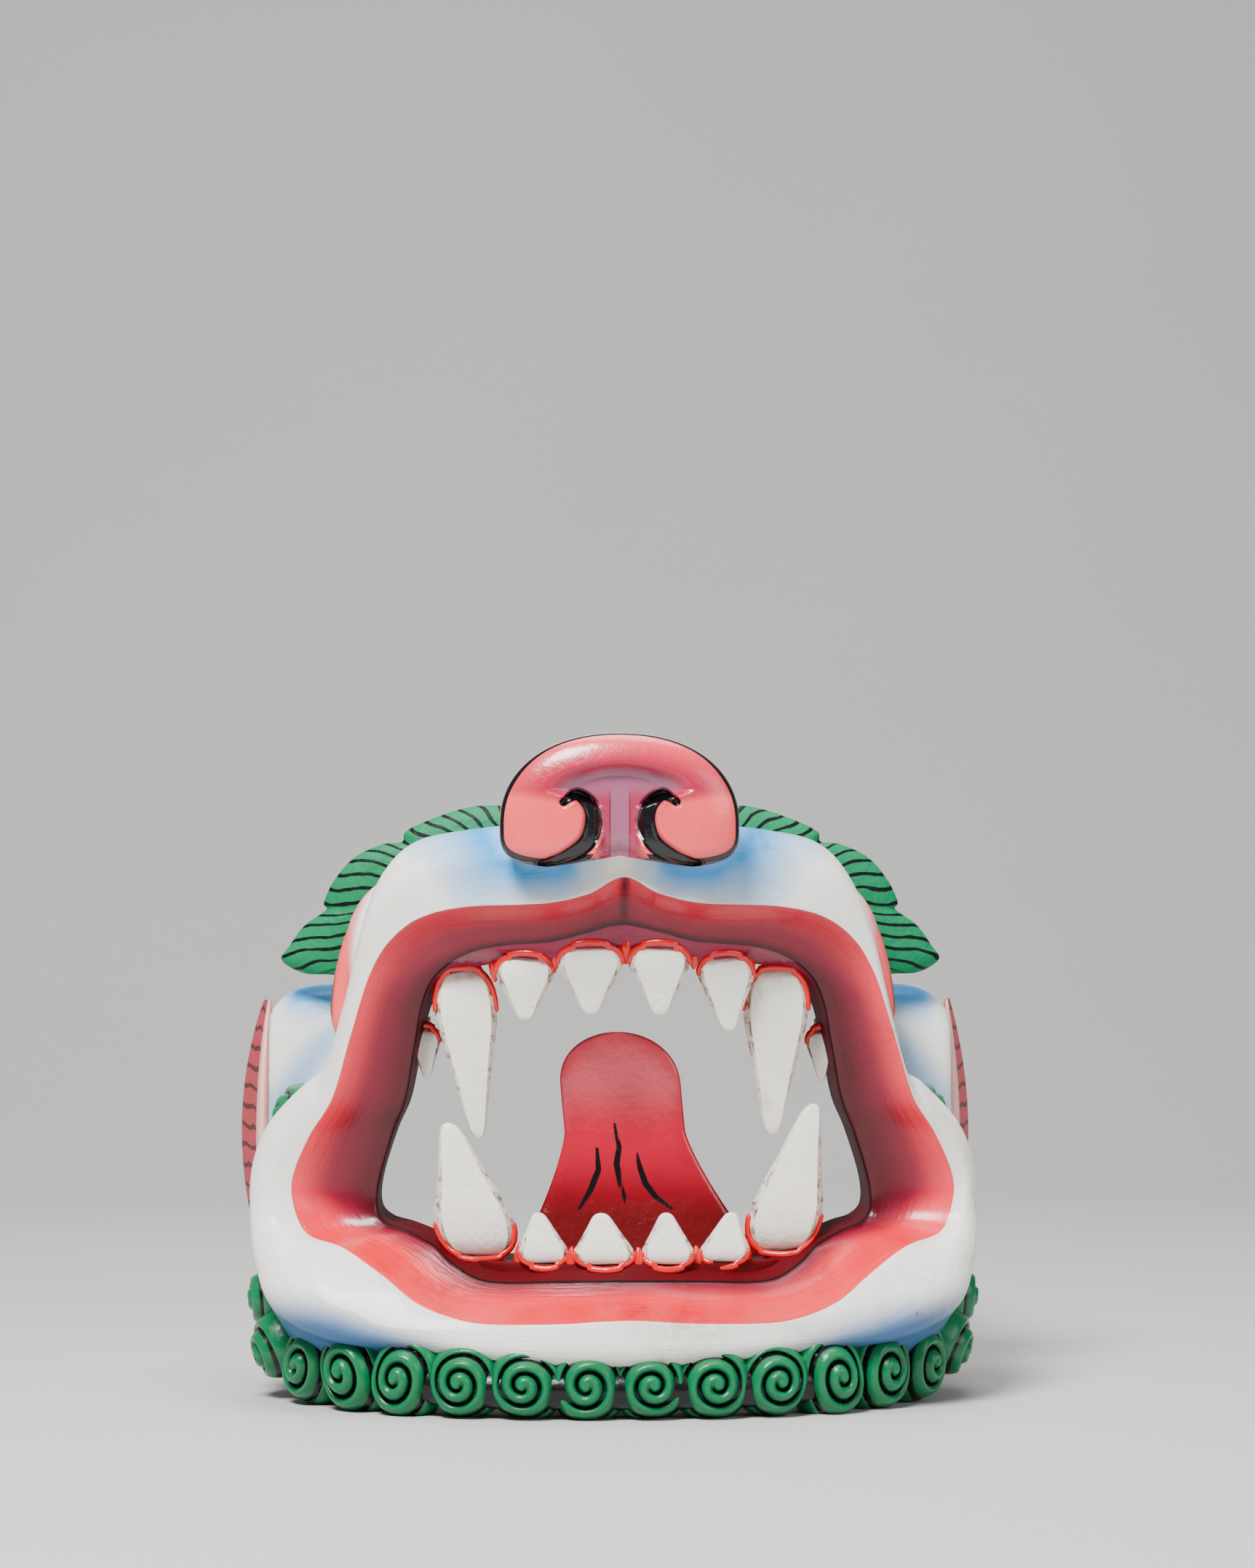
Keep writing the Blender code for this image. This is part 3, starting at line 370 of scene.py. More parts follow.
def lip_depth(x, z):
    """How far the face stands back from the front at a place on the lips."""
    rise = np.clip((z / MASK_HEIGHT - 0.16) / 0.58, 0, 1)
    front = LIP_FRONT[0] + (LIP_FRONT[1] - LIP_FRONT[0]) * rise
    return front + LIP_SWEEP * (np.abs(x) / (0.45 * MUZZLE_WIDTH)) ** 2


def drift(z):
    """Sideways shift of the mouth at a height."""
    share = np.clip(z / MASK_HEIGHT, 0, 1)
    return MOUTH_DRIFT[0] + (MOUTH_DRIFT[1] - MOUTH_DRIFT[0]) * share


def outline(shares):
    shares = np.asarray(shares, float) / 100
    return shares[:, 0] * MUZZLE_WIDTH / 2, shares[:, 1] * MASK_HEIGHT


def arch(width, height, depth, front, foot, share):
    """Half an arch over the head that then runs forward under the jaw."""
    over = np.clip(share / FOOT_AT, 0, 1) ** 0.8 * math.pi / 2
    x = width / 2 * np.sin(over) ** (2 / ARCH_POWER)
    z = height * np.cos(over).clip(0) ** (2 / ARCH_POWER)
    y = depth + (foot - depth) * (1 - z / height) ** 1.5
    under = np.clip((share - FOOT_AT) / (1 - FOOT_AT), 0, 1) * math.pi / 2
    x = np.where(share > FOOT_AT, width / 2 * np.cos(under).clip(0) ** 0.8, x)
    y = np.where(share > FOOT_AT, foot - (foot - front) * np.sin(under) ** 0.8, y)
    z = np.where(share > FOOT_AT, 0, z)
    return np.stack([x, y, z - SAW_ALLOWANCE * (1 - z / height)], axis=1)


def arch_width_at(z, arch_size, inset):
    width, height = arch_size[0] / 2 - inset, arch_size[1] - inset
    return width * np.clip(1 - (np.clip(z, 0, None) / height) ** ARCH_POWER, 0, 1) ** (1 / ARCH_POWER)


def arch_height_at(x, arch_size, inset):
    width, height = arch_size[0] / 2 - inset, arch_size[1] - inset
    return height * np.clip(1 - (np.abs(x) / width) ** ARCH_POWER, 0, 1) ** (1 / ARCH_POWER)


def head_rings():
    """The guiding rings of the head's outer skin, from inside the mouth to the rear rim, half of each."""
    share = np.linspace(0, 1, len(LIP_EDGE))
    lip_x, lip_z = outline(LIP_EDGE)
    lip = np.stack([lip_x, lip_depth(lip_x, lip_z), lip_z], axis=1)
    crease_x, crease_z = outline(CREASE)
    crease_y = lip_depth(crease_x, crease_z) + along(CREASE_DEPTH, share)
    crease = np.stack([crease_x, crease_y, crease_z], axis=1)
    middle = np.array([0, 0, 0.45 * MASK_HEIGHT])
    inward = (middle - crease) * (1, 0, 1)
    inward /= np.linalg.norm(inward, axis=1)[:, None]
    edge = crease + inward * along(GUM_WIDTH, share)[:, None]
    edge[:, 1] += along(GUM_RETURN, share)
    shoulder_x, shoulder_z = outline(SHOULDER)
    shoulder_y = lip[:, 1] + along(SHOULDER_SETBACK, share)
    shoulder = np.stack([shoulder_x, shoulder_y, shoulder_z], axis=1)
    lip_middle = 0.5 * (crease + lip) + [0, LIP_HOLLOW, 0]
    reach = np.linalg.norm(shoulder - lip, axis=1)[:, None]
    band = 0.5 * (lip + shoulder) - inward * 0.06 * reach - np.array([0, 1, 0]) * 0.20 * reach
    back = [arch(*NECK_ARCH, NECK_ARCH[2], share), arch(*TEMPLE_ARCH, TEMPLE_ARCH[2], share),
            arch(*REAR_ARCH, REAR_FOOT, share)]
    return [edge, crease, lip_middle, lip, band, shoulder] + back


def full_loop(half, sway):
    """A closed ring from its right half, shifted sideways by the share of the mouth's drift."""
    left = half[-2:0:-1] * (-1, 1, 1)
    ring = np.concatenate([half, left])
    ring[:, 0] += sway * drift(ring[:, 2])
    return ring


def across(rings, run, at):
    """Smooth profile through the rings, softer or sharper at each by CORNER."""
    slopes = []
    for i, ring in enumerate(rings):
        low, high = max(i - 1, 0), min(i + 1, len(rings) - 1)
        before = (ring - rings[low]) / (run[i] - run[low]) if i > low else None
        after = (rings[high] - ring) / (run[high] - run[i]) if high > i else None
        if before is None or after is None:
            slopes.append(after if before is None else before)
            continue
        weight = (run[i] - run[low]) / (run[high] - run[low])
        slope = (before * (1 - weight) + after * weight) * CORNER[i]
        slopes.append(slope * (0.1, 1, 0.1) if i == WIDEST_RING else slope)
    rows = []
    for place in at:
        i = min(int(np.searchsorted(run, place, side="right")) - 1, len(rings) - 2)
        gap = run[i + 1] - run[i]
        t = (place - run[i]) / gap
        rows.append(rings[i] * (2 * t ** 3 - 3 * t ** 2 + 1) + slopes[i] * gap * (t ** 3 - 2 * t ** 2 + t)
                    + rings[i + 1] * (3 * t ** 2 - 2 * t ** 3) + slopes[i + 1] * gap * (t ** 3 - t ** 2))
    return np.array(rows)


def skin(name, rows, closed_ends=True):
    """A mesh over rows of closed rings of equal count, its faces turned outward where its ends are closed."""
    rows = np.asarray(rows, float)
    count, around = rows.shape[:2]
    here = np.arange(around)
    ahead = np.roll(here, -1)
    start = (np.arange(count - 1) * around)[:, None]
    quads = np.stack([start + here, start + ahead, start + around + ahead, start + around + here], axis=-1)
    faces = quads.reshape(-1, 4).tolist()
    if closed_ends:
        faces.append(here[::-1].tolist())
        faces.append((here + (count - 1) * around).tolist())
    mesh = bpy.data.meshes.new(name)
    mesh.from_pydata(rows.reshape(-1, 3).tolist(), [], faces)
    if closed_ends:
        form = bmesh.new()
        form.from_mesh(mesh)
        bmesh.ops.recalc_face_normals(form, faces=form.faces)
        form.to_mesh(mesh)
        form.free()
    return mesh


def note(mesh, name, values, kind="FLOAT"):
    """Write a value for each point of a mesh, for its paint to read."""
    layer = mesh.attributes.new(name, kind, "POINT")
    key = "vector" if kind == "FLOAT_VECTOR" else "value"
    layer.data.foreach_set(key, np.asarray(values, np.float32).ravel())


def bar(name, points, radii, sides=12):
    """A round bar along points with rounded ends, as a mesh."""
    points = np.asarray(points, float)
    steps = np.gradient(points, axis=0)
    steps /= np.linalg.norm(steps, axis=1)[:, None]
    side = np.cross(steps, (0, 1, 0.01))
    side /= np.linalg.norm(side, axis=1)[:, None]
    up = np.cross(side, steps)
    radii = np.broadcast_to(np.asarray(radii, float), len(points)).copy()
    turn = np.arange(sides) * 2 * math.pi / sides
    rows = []
    for point, across_bar, over, step, radius, end in zip(points, side, up, steps, radii, range(len(points))):
        ring = np.cos(turn)[:, None] * across_bar + np.sin(turn)[:, None] * over
        if end == 0:
            rows.append(point - step * radius * 0.7 + ring * radius * 0.5)
        rows.append(point + ring * radius)
        if end == len(points) - 1:
            rows.append(point + step * radius * 0.7 + ring * radius * 0.5)
    return skin(name, rows)


def joined(name, meshes):
    """Several meshes as one."""
    form = bmesh.new()
    for mesh in meshes:
        form.from_mesh(mesh)
        bpy.data.meshes.remove(mesh)
    mesh = bpy.data.meshes.new(name)
    form.to_mesh(mesh)
    form.free()
    return mesh


def placed(name, data):
    """A new object in the scene."""
    thing = bpy.data.objects.new(name, data)
    bpy.context.scene.collection.objects.link(thing)
    return thing


def settled(thing):
    """The mesh that an object's modifiers make."""
    graph = bpy.context.evaluated_depsgraph_get()
    return bpy.data.meshes.new_from_object(thing.evaluated_get(graph))


def stand(name, mesh, materials, sharp=40, node="mask_head"):
    """Put a finished mesh into the frame as a piece that stands for a node."""
    mesh.transform(Matrix.Translation((0, SHIFT, 0)))
    for place, material in enumerate(materials):
        if place == len(mesh.materials):
            mesh.materials.append(None)
        mesh.materials[place] = material
    mesh.shade_smooth()
    mesh.set_sharp_from_angle(angle=math.radians(sharp))
    thing = placed(name, mesh)
    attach(thing, "root")
    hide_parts(node)


class Mixer:
    """Adds and joins the nodes of one paint."""

    def __init__(self, tree):
        self.tree = tree

    def feed(self, socket, value):
        if isinstance(value, bpy.types.NodeSocket):
            self.tree.links.new(value, socket)
        else:
            socket.default_value = value

    def add(self, kind, inputs=None, **settings):
        node = self.tree.nodes.new("ShaderNode" + kind)
        for key, value in settings.items():
            setattr(node, key, value)
        for key, value in (inputs or {}).items():
            self.feed(node.inputs[key], value)
        return node

    def math(self, operation, a, b=0.0, clamp=False):
        return self.add("Math", {0: a, 1: b}, operation=operation, use_clamp=clamp).outputs[0]

    def times(self, a, b, clamp=False):
        return self.math("MULTIPLY", a, b, clamp)

    def plus(self, a, b, clamp=False):
        return self.math("ADD", a, b, clamp)

    def less(self, a, b):
        return self.math("SUBTRACT", a, b)

    def mix(self, share, a, b, blend="MIX"):
        """Colour between a and b, each a socket, a colour or the name of a colour setting."""
        a, b = (paints(paint) if isinstance(paint, str) else paint for paint in (a, b))
        return self.add("Mix", {0: share, 6: a, 7: b}, data_type="RGBA", blend_type=blend).outputs[2]

    def blend(self, share, a, b):
        """Plain number between a and b."""
        return self.add("Mix", {0: share, 2: a, 3: b}, data_type="FLOAT").outputs[0]

    def band(self, value, low, high):
        """0 below low, 1 above high, smooth between."""
        return self.add("MapRange", {"Value": value, "From Min": low, "From Max": high},
                        interpolation_type="SMOOTHSTEP").outputs["Result"]

    def noise(self, vector, scale, detail=3.0, rough=0.5):
        inputs = {"Vector": vector, "Scale": scale, "Detail": detail, "Roughness": rough}
        return self.add("TexNoise", inputs).outputs[0]

    def value(self, name):
        return self.add("Attribute", attribute_name=name).outputs["Fac"]

    def vector(self, name):
        return self.add("Attribute", attribute_name=name).outputs["Vector"]

    def place(self):
        return self.add("TexCoord").outputs["Object"]

    def axes(self, vector):
        return self.add("SeparateXYZ", {0: vector}).outputs

    def group(self, tree, inputs):
        node = self.add("Group", node_tree=tree)
        for key, value in inputs.items():
            self.feed(node.inputs[key], value)
        return node.outputs


def effect(name, inputs, outputs):
    """An empty shader node group with named sockets, or the finished one if it exists."""
    tree = bpy.data.node_groups.get(name)
    if tree:
        return tree, None, None, None
    tree = bpy.data.node_groups.new(name, "ShaderNodeTree")
    for key, kind in inputs:
        tree.interface.new_socket(name=key, in_out="INPUT", socket_type="NodeSocket" + kind)
    for key, kind in outputs:
        tree.interface.new_socket(name=key, in_out="OUTPUT", socket_type="NodeSocket" + kind)
    mixer = Mixer(tree)
    entry = tree.nodes.new("NodeGroupInput").outputs
    leave = tree.nodes.new("NodeGroupOutput").inputs
    return tree, mixer, entry, leave


def brushed():
    """Paint laid on by brush: streaks of lighter and darker colour, and their ridges."""
    tree, mixer, entry, leave = effect(
        "Brushed paint",
        [("Colour", "Color"), ("Vector", "Vector"), ("Fineness", "Float"), ("Strength", "Float")],
        [("Colour", "Color"), ("Height", "Float")])
    if mixer:
        streak = mixer.noise(entry["Vector"], entry["Fineness"], 4.0, 0.6)
        broad = mixer.noise(entry["Vector"], mixer.times(entry["Fineness"], 0.13), 2.0)
        swing = mixer.plus(mixer.times(mixer.less(streak, 0.5), 0.5),
                           mixer.less(broad, 0.5))
        factor = mixer.plus(1.0, mixer.times(swing, entry["Strength"]))
        tinted = mixer.add("VectorMath", {0: entry["Colour"], "Scale": factor}, operation="SCALE").outputs[0]
        mixer.feed(leave["Colour"], tinted)
        mixer.feed(leave["Height"], mixer.plus(streak, mixer.times(broad, 0.6)))
    return tree


def aged():
    """Old dirt in soft patches and small chips with hard edges."""
    tree, mixer, entry, leave = effect(
        "Aged", [("Colour", "Color"), ("Vector", "Vector"), ("Dirt", "Float"), ("Chips", "Float"),
                 ("Dirt colour", "Color"), ("Under colour", "Color")],
        [("Colour", "Color"), ("Chip", "Float")])
    if mixer:
        cloud = mixer.noise(entry["Vector"], 16.0, 6.0, 0.62)
        speck = mixer.noise(entry["Vector"], 210.0, 3.0, 0.6)
        patch = mixer.times(mixer.band(cloud, 0.50, 0.74), mixer.band(speck, 0.30, 0.62))
        soft = mixer.times(patch, entry["Dirt"], clamp=True)
        spots = mixer.noise(entry["Vector"], 46.0, 7.0, 0.68)
        where = mixer.noise(entry["Vector"], 8.0, 1.0)
        limit = mixer.less(0.80, mixer.times(entry["Chips"], 0.10))
        chip = mixer.band(mixer.plus(mixer.times(spots, 0.75), mixer.times(where, 0.35)),
                          limit, mixer.plus(limit, 0.012))
        darker = mixer.mix(0.8, entry["Colour"], entry["Dirt colour"], "MULTIPLY")
        dirty = mixer.mix(soft, entry["Colour"], darker)
        mixer.feed(leave["Colour"], mixer.mix(chip, dirty, entry["Under colour"]))
        mixer.feed(leave["Chip"], chip)
    return tree


def striped():
    """Hand-painted strokes: wavy dark lines at even places along a piece."""
    tree, mixer, entry, leave = effect(
        "Painted strokes", [("Along", "Float"), ("Across", "Float"), ("Count", "Float"), ("Width", "Float"),
                            ("Wave", "Float"), ("Vector", "Vector")], [("Stroke", "Float")])
    if mixer:
        wobble = mixer.less(mixer.noise(entry["Vector"], 70.0, 2.0), 0.5)
        sway = mixer.math("SINE", mixer.plus(mixer.times(entry["Across"], 11.0),
                                             mixer.times(entry["Along"], 23.0)))
        shift = mixer.times(mixer.plus(mixer.times(sway, 0.30), wobble), entry["Wave"])
        phase = mixer.plus(mixer.times(entry["Along"], entry["Count"]), shift)
        away = mixer.math("ABSOLUTE", mixer.less(mixer.math("FRACT", phase), 0.5))
        press = mixer.plus(0.55, mixer.noise(entry["Vector"], 120.0, 1.0))
        edge = mixer.times(entry["Width"], press)
        mixer.feed(leave["Stroke"], mixer.band(away, edge, mixer.times(edge, 0.72)))
    return tree


def painted(name, plan, rough, coat=0.0, bump=0.0004, specular=0.5):
    """A painted material. plan returns its colour, height, and the roughness it adds, from a Mixer."""
    material = bpy.data.materials.new(name)
    material.use_nodes = True
    tree = material.node_tree
    shader = tree.nodes["Principled BSDF"]
    mixer = Mixer(tree)
    colour, height, rougher = plan(mixer)
    mixer.feed(shader.inputs["Base Color"], colour)
    mixer.feed(shader.inputs["Roughness"], mixer.plus(rough, rougher, clamp=True))
    shader.inputs["Specular IOR Level"].default_value = specular
    shader.inputs["Coat Weight"].default_value = coat
    shader.inputs["Coat Roughness"].default_value = 0.12
    relief = mixer.add("Bump", {"Strength": 1.0, "Distance": bump, "Height": height})
    mixer.feed(shader.inputs["Normal"], relief.outputs["Normal"])
    return material


def finish_of(mixer, colour, fineness=240.0, strokes=1.0, dirt=1.0, chips=0.0, vector=None):
    """Brush strokes, then dirt and chips over a colour: colour, height and added roughness."""
    place = mixer.place()
    laid = mixer.group(brushed(), {"Colour": colour, "Vector": vector or place, "Fineness": fineness,
                                   "Strength": strokes * sizes().strokes})
    old = mixer.group(aged(), {"Colour": laid["Colour"], "Vector": place, "Dirt": dirt * sizes().dirt,
                               "Chips": chips, "Dirt colour": paints("dirt"), "Under colour": paints("dirt")})
    height = mixer.less(laid["Height"], mixer.times(old["Chip"], 1.5))
    rougher = mixer.plus(mixer.times(mixer.noise(place, 90.0), 0.10),
                         mixer.times(old["Chip"], 0.3))
    return old["Colour"], height, rougher


def head_plan(mixer):
    """White face, pink lips going to dark red at the gum, and mauve and maroon gums. The dark red is partly
    the lips' own paint and partly painted shade, reaching wider on the upper lip and at the mouth's sides,
    where the gums are painted their deepest red as shade.
    """
    place = mixer.place()
    z = mixer.axes(place)[2]
    wander = mixer.times(mixer.less(mixer.noise(place, 55.0, 2.0), 0.5), 0.0016)
    run = mixer.plus(mixer.value("run"), wander)
    share = mixer.math("DIVIDE", mixer.less(run, PROFILE_RUN[1]), PROFILE_RUN[3] - PROFILE_RUN[1])
    low = mixer.band(z, 0.125, 0.085)
    flank = mixer.times(mixer.band(z, 0.262, 0.225), mixer.band(z, 0.085, 0.125))
    high = mixer.times(mixer.band(z, 0.235, 0.275), 0.40)
    # Painted shade: the upper lip goes part way to rose.
    pink = mixer.mix(high, mixer.mix(low, "lip", "lip_low"), "lip_rose")
    # How far rose and dark red reach from the gum: partly the lips' own paint, reaching wider as painted
    # shade on the upper lip and at the mouth's sides.
    rosy = mixer.blend(low, 0.94, 0.46)
    rose = mixer.blend(low, mixer.blend(flank, 0.24, 0.48), 0.08)
    dark = mixer.blend(low, mixer.blend(flank, 0.26, 0.70), 0.10)
    deep = mixer.times(flank, 0.14)
    lip = mixer.mix(mixer.band(share, rosy, rose), pink, "lip_rose")
    lip = mixer.mix(mixer.times(mixer.band(share, dark, deep), 0.92), lip, "lip_shade")
    lip = mixer.mix(mixer.times(mixer.band(share, 0.955, 0.985), 0.4), lip, "lip_rose")
    lip = mixer.mix(mixer.times(mixer.value("cleft"), 0.92), lip, "lip_shade")
    gum = mixer.mix(mixer.band(z, 0.12, 0.20), "gum_low", "gum")
    # Painted shade: the gums at the mouth's sides go nearly to the dark red of lip_shade.
    gum = mixer.mix(mixer.times(flank, 0.85), gum, "lip_shade")
    seam = mixer.math("ABSOLUTE", mixer.plus(share, 0.03))
    mouth = mixer.mix(mixer.band(share, -0.02, 0.01), gum, lip)
    mouth = mixer.mix(mixer.times(mixer.band(seam, 0.06, 0.02), 0.9), mouth, "black")
    blue = mixer.mix(mixer.band(z, 0.10, 0.06), "blue", "blue_deep")
    white = mixer.mix(mixer.value("blue"), "white", blue)
    is_white = mixer.band(share, 0.994, 1.004)
    colour = mixer.mix(is_white, mouth, white)
    strokes = mixer.vector("stroke")
    colour, height, rougher = finish_of(mixer, colour, 620.0, 0.6, 1.1, 0.45, strokes)
    matt = mixer.times(is_white, 0.16)
    return colour, height, mixer.plus(rougher, matt)


def white_plan(mixer):
    colour = mixer.mix(mixer.value("blue"), "white", "blue")
    return finish_of(mixer, colour, 200.0, 0.35, 0.9, 0.3)


def inner_plan(mixer):
    """Hollowed wood, painted black near the mouth as the shade inside the head."""
    place = mixer.place()
    y = mixer.axes(place)[1]
    long_grain = mixer.add("Mapping", {"Vector": place, "Scale": (1.0, 0.12, 1.0)}).outputs[0]
    grain = mixer.noise(long_grain, 160.0, 5.0, 0.65)
    wood = mixer.mix(mixer.band(grain, 0.35, 0.7), "wood", "dirt")
    wave = mixer.plus(y, mixer.times(mixer.noise(place, 30.0), 0.03))
    # Painted shade: the wall goes black towards the mouth.
    near = mixer.band(wave, 0.012, -0.025)
    colour = mixer.mix(near, wood, "black")
    scoop = mixer.add("TexVoronoi", {"Vector": place, "Scale": 55.0}, feature="SMOOTH_F1").outputs["Distance"]
    colour, height, rougher = finish_of(mixer, colour, 160.0, 0.5, 1.0, 0.0, long_grain)
    return colour, mixer.plus(height, mixer.times(scoop, 2.0)), rougher


def jaw_plan(mixer):
    """Dark red floor of the mouth, and behind it wood painted near black as the shade inside the mouth."""
    y = mixer.axes(mixer.place())[1]
    # Painted shade: the wood behind the floor is a mix of black and brown.
    wood = mixer.mix(mixer.noise(mixer.place(), 60.0, 4.0), "black", "dirt")
    colour = mixer.mix(mixer.band(y, SHIFT + 0.108, SHIFT + 0.112), "gum_low", wood)
    return finish_of(mixer, colour, 180.0, 0.5, 0.8)


def nose_plan(mixer):
    """Salmon rolls, crimson painted shade round a lilac hollow, black nostrils and outline, white bridge."""
    x = mixer.axes(mixer.place())[0]
    # Painted shade: crimson above the hollow, under the nose's top rim.
    colour = mixer.mix(mixer.value("flush"), "nose", "flush")
    colour = mixer.mix(mixer.value("hollow"), colour, "lilac")
    away = mixer.math("ABSOLUTE", x)
    stripe = mixer.times(mixer.band(away, 0.0044, 0.0062), mixer.value("septum"))
    # Painted shade: crimson on the septum's sides.
    colour = mixer.mix(mixer.times(stripe, 0.75), colour, "flush")
    thread = mixer.times(mixer.band(mixer.math("ABSOLUTE", mixer.less(away, 0.0054)), 0.0006, 0.0002),
                        mixer.value("septum"))
    colour = mixer.mix(mixer.times(thread, 0.6), colour, "lip_shade")
    colour = mixer.mix(mixer.band(mixer.value("nostril"), 1.04, 0.94), colour, "black")
    colour = mixer.mix(mixer.band(mixer.value("line"), 1.06, 0.94), colour, "black")
    colour = mixer.mix(mixer.band(mixer.value("edge"), 1.015, 1.03), colour, "white")
    return finish_of(mixer, colour, 260.0, 0.45, 0.25, 0.0)


def strokes_of(mixer, count, wave):
    """Place along and across a piece, and the dark strokes painted over it."""
    lay = mixer.axes(mixer.vector("lay"))
    settings = {"Along": lay[0], "Across": lay[1], "Count": count, "Width": 0.13, "Wave": wave}
    return lay, mixer.group(striped(), {**settings, "Vector": mixer.place()})["Stroke"]


def brow_plan(mixer):
    lay, stroke = strokes_of(mixer, 24.0, 0.42)
    # Painted shade: the brow's outer end, where its underside shows, goes toward the darker green and has no
    # strokes.
    tip = mixer.band(lay[0], 0.90, 0.97)
    green = mixer.mix(mixer.times(tip, 0.45), "brow", "beard")
    colour = mixer.mix(mixer.times(stroke, mixer.less(1.0, tip)), green, "black")
    colour, height, rougher = finish_of(mixer, colour, 230.0, 0.6, 0.15)
    return colour, mixer.less(height, stroke), rougher


def eye_plan(mixer):
    """White ball with a round black pupil that looks ahead."""
    look = mixer.value("look")
    colour = mixer.mix(mixer.band(look, 0.44, 0.42), "white", "black")
    colour = mixer.mix(mixer.times(mixer.band(look, 0.84, 0.98), 0.7), colour, "lip")
    return finish_of(mixer, colour, 220.0, 0.3, 0.3)


def lid_plan(mixer):
    colour = mixer.mix(mixer.value("rim_line"), "rim", "black")
    return finish_of(mixer, colour, 220.0, 0.4, 0.2)


def bead_plan(mixer):
    return finish_of(mixer, paints("bead"), 300.0, 0.5, 0.3)


def tooth_plan(mixer):
    """Ivory with brown dirt at the roots, and brown on the facets that face sideways."""
    place = mixer.place()
    root = mixer.value("root")
    grit = mixer.band(mixer.noise(place, 150.0, 8.0, 0.72), 0.46, 0.62)
    at_root = mixer.times(mixer.band(root, 0.16, 0.02), 0.30)
    on_side = mixer.times(mixer.value("flank"), mixer.band(root, 1.0, 0.45))
    share = mixer.times(grit, mixer.math("MAXIMUM", at_root, on_side), clamp=True)
    colour = mixer.mix(mixer.times(share, 0.9), "tooth", "dirt")
    stain = mixer.times(mixer.band(mixer.noise(place, 26.0, 3.0), 0.63, 0.72), 0.35)
    colour = mixer.mix(stain, colour, mixer.mix(0.55, "tooth", "dirt"))
    colour, height, rougher = finish_of(mixer, colour, 330.0, 0.16, 0.2)
    drawn = mixer.add("Mapping", {"Vector": place, "Scale": (1.0, 1.0, 0.25)}).outputs[0]
    scrape = mixer.noise(drawn, 420.0, 3.0)
    return colour, mixer.plus(height, mixer.times(scrape, 0.6)), rougher


def tongue_plan(mixer):
    """Pink tip to dark red root, with painted dark lines."""
    z = mixer.axes(mixer.place())[2]
    colour = mixer.mix(mixer.band(z, 0.197, 0.148), "tongue", "tongue_rose")
    colour = mixer.mix(mixer.band(z, 0.152, 0.100), colour, "tongue_deep")
    colour = mixer.mix(mixer.band(mixer.value("line"), 1.15, 0.85), colour, "black")
    return finish_of(mixer, colour, 200.0, 0.5, 0.4)


def ear_plan(mixer):
    lay, stroke = strokes_of(mixer, 13.5, 0.22)
    colour = mixer.mix(mixer.times(stroke, 0.92), "ear", "lip_shade")
    pale = mixer.mix(0.5, "white", "rim")
    colour = mixer.mix(mixer.band(lay[1], 0.16, 0.12), colour, pale)
    return finish_of(mixer, colour, 230.0, 0.5, 0.4)


def beard_plan(mixer):
    """Glossy green ridges over black grooves, the crests painted a lighter green as painted light."""
    groove = mixer.value("groove")
    place = mixer.place()
    broken = mixer.plus(groove, mixer.times(mixer.less(mixer.noise(place, 260.0), 0.5), 0.16))
    # Painted light: the ridges' crests go toward the lighter green of the brows.
    lift = mixer.mix(mixer.band(groove, 0.55, 0.0), "beard", "brow")
    green = mixer.mix(0.45, "beard", lift)
    colour = mixer.mix(mixer.band(broken, 0.40, 0.52), green, "black")
    return finish_of(mixer, colour, 260.0, 0.6, 0.2)


def blue_on_face(x, y, z):
    """Where the blue shading lies: round the nose's wings, and low on the cheeks above the curls."""
    nose = np.zeros(len(x))
    for side in (-1, 1):
        gap, share = near_path(side * x, z, BLUE_BY_NOSE)
        width = 0.017 + 0.021 * fade((np.abs(x) - 0.068) / 0.018)
        near = (1 - gap / width).clip(0) ** 0.65
        nose = np.maximum(nose, near * (y < 0.13) * fade((1.02 - share) / 0.12))
    height = 0.048 + 0.012 * fade((np.abs(x) - 0.14) / 0.03)
    jaw = fade((height - z) / 0.013) * fade((np.abs(x) - 0.105) / 0.024) * fade((0.19 - y) / 0.03)
    return np.clip(np.maximum(nose, 0.95 * jaw), 0, 1)


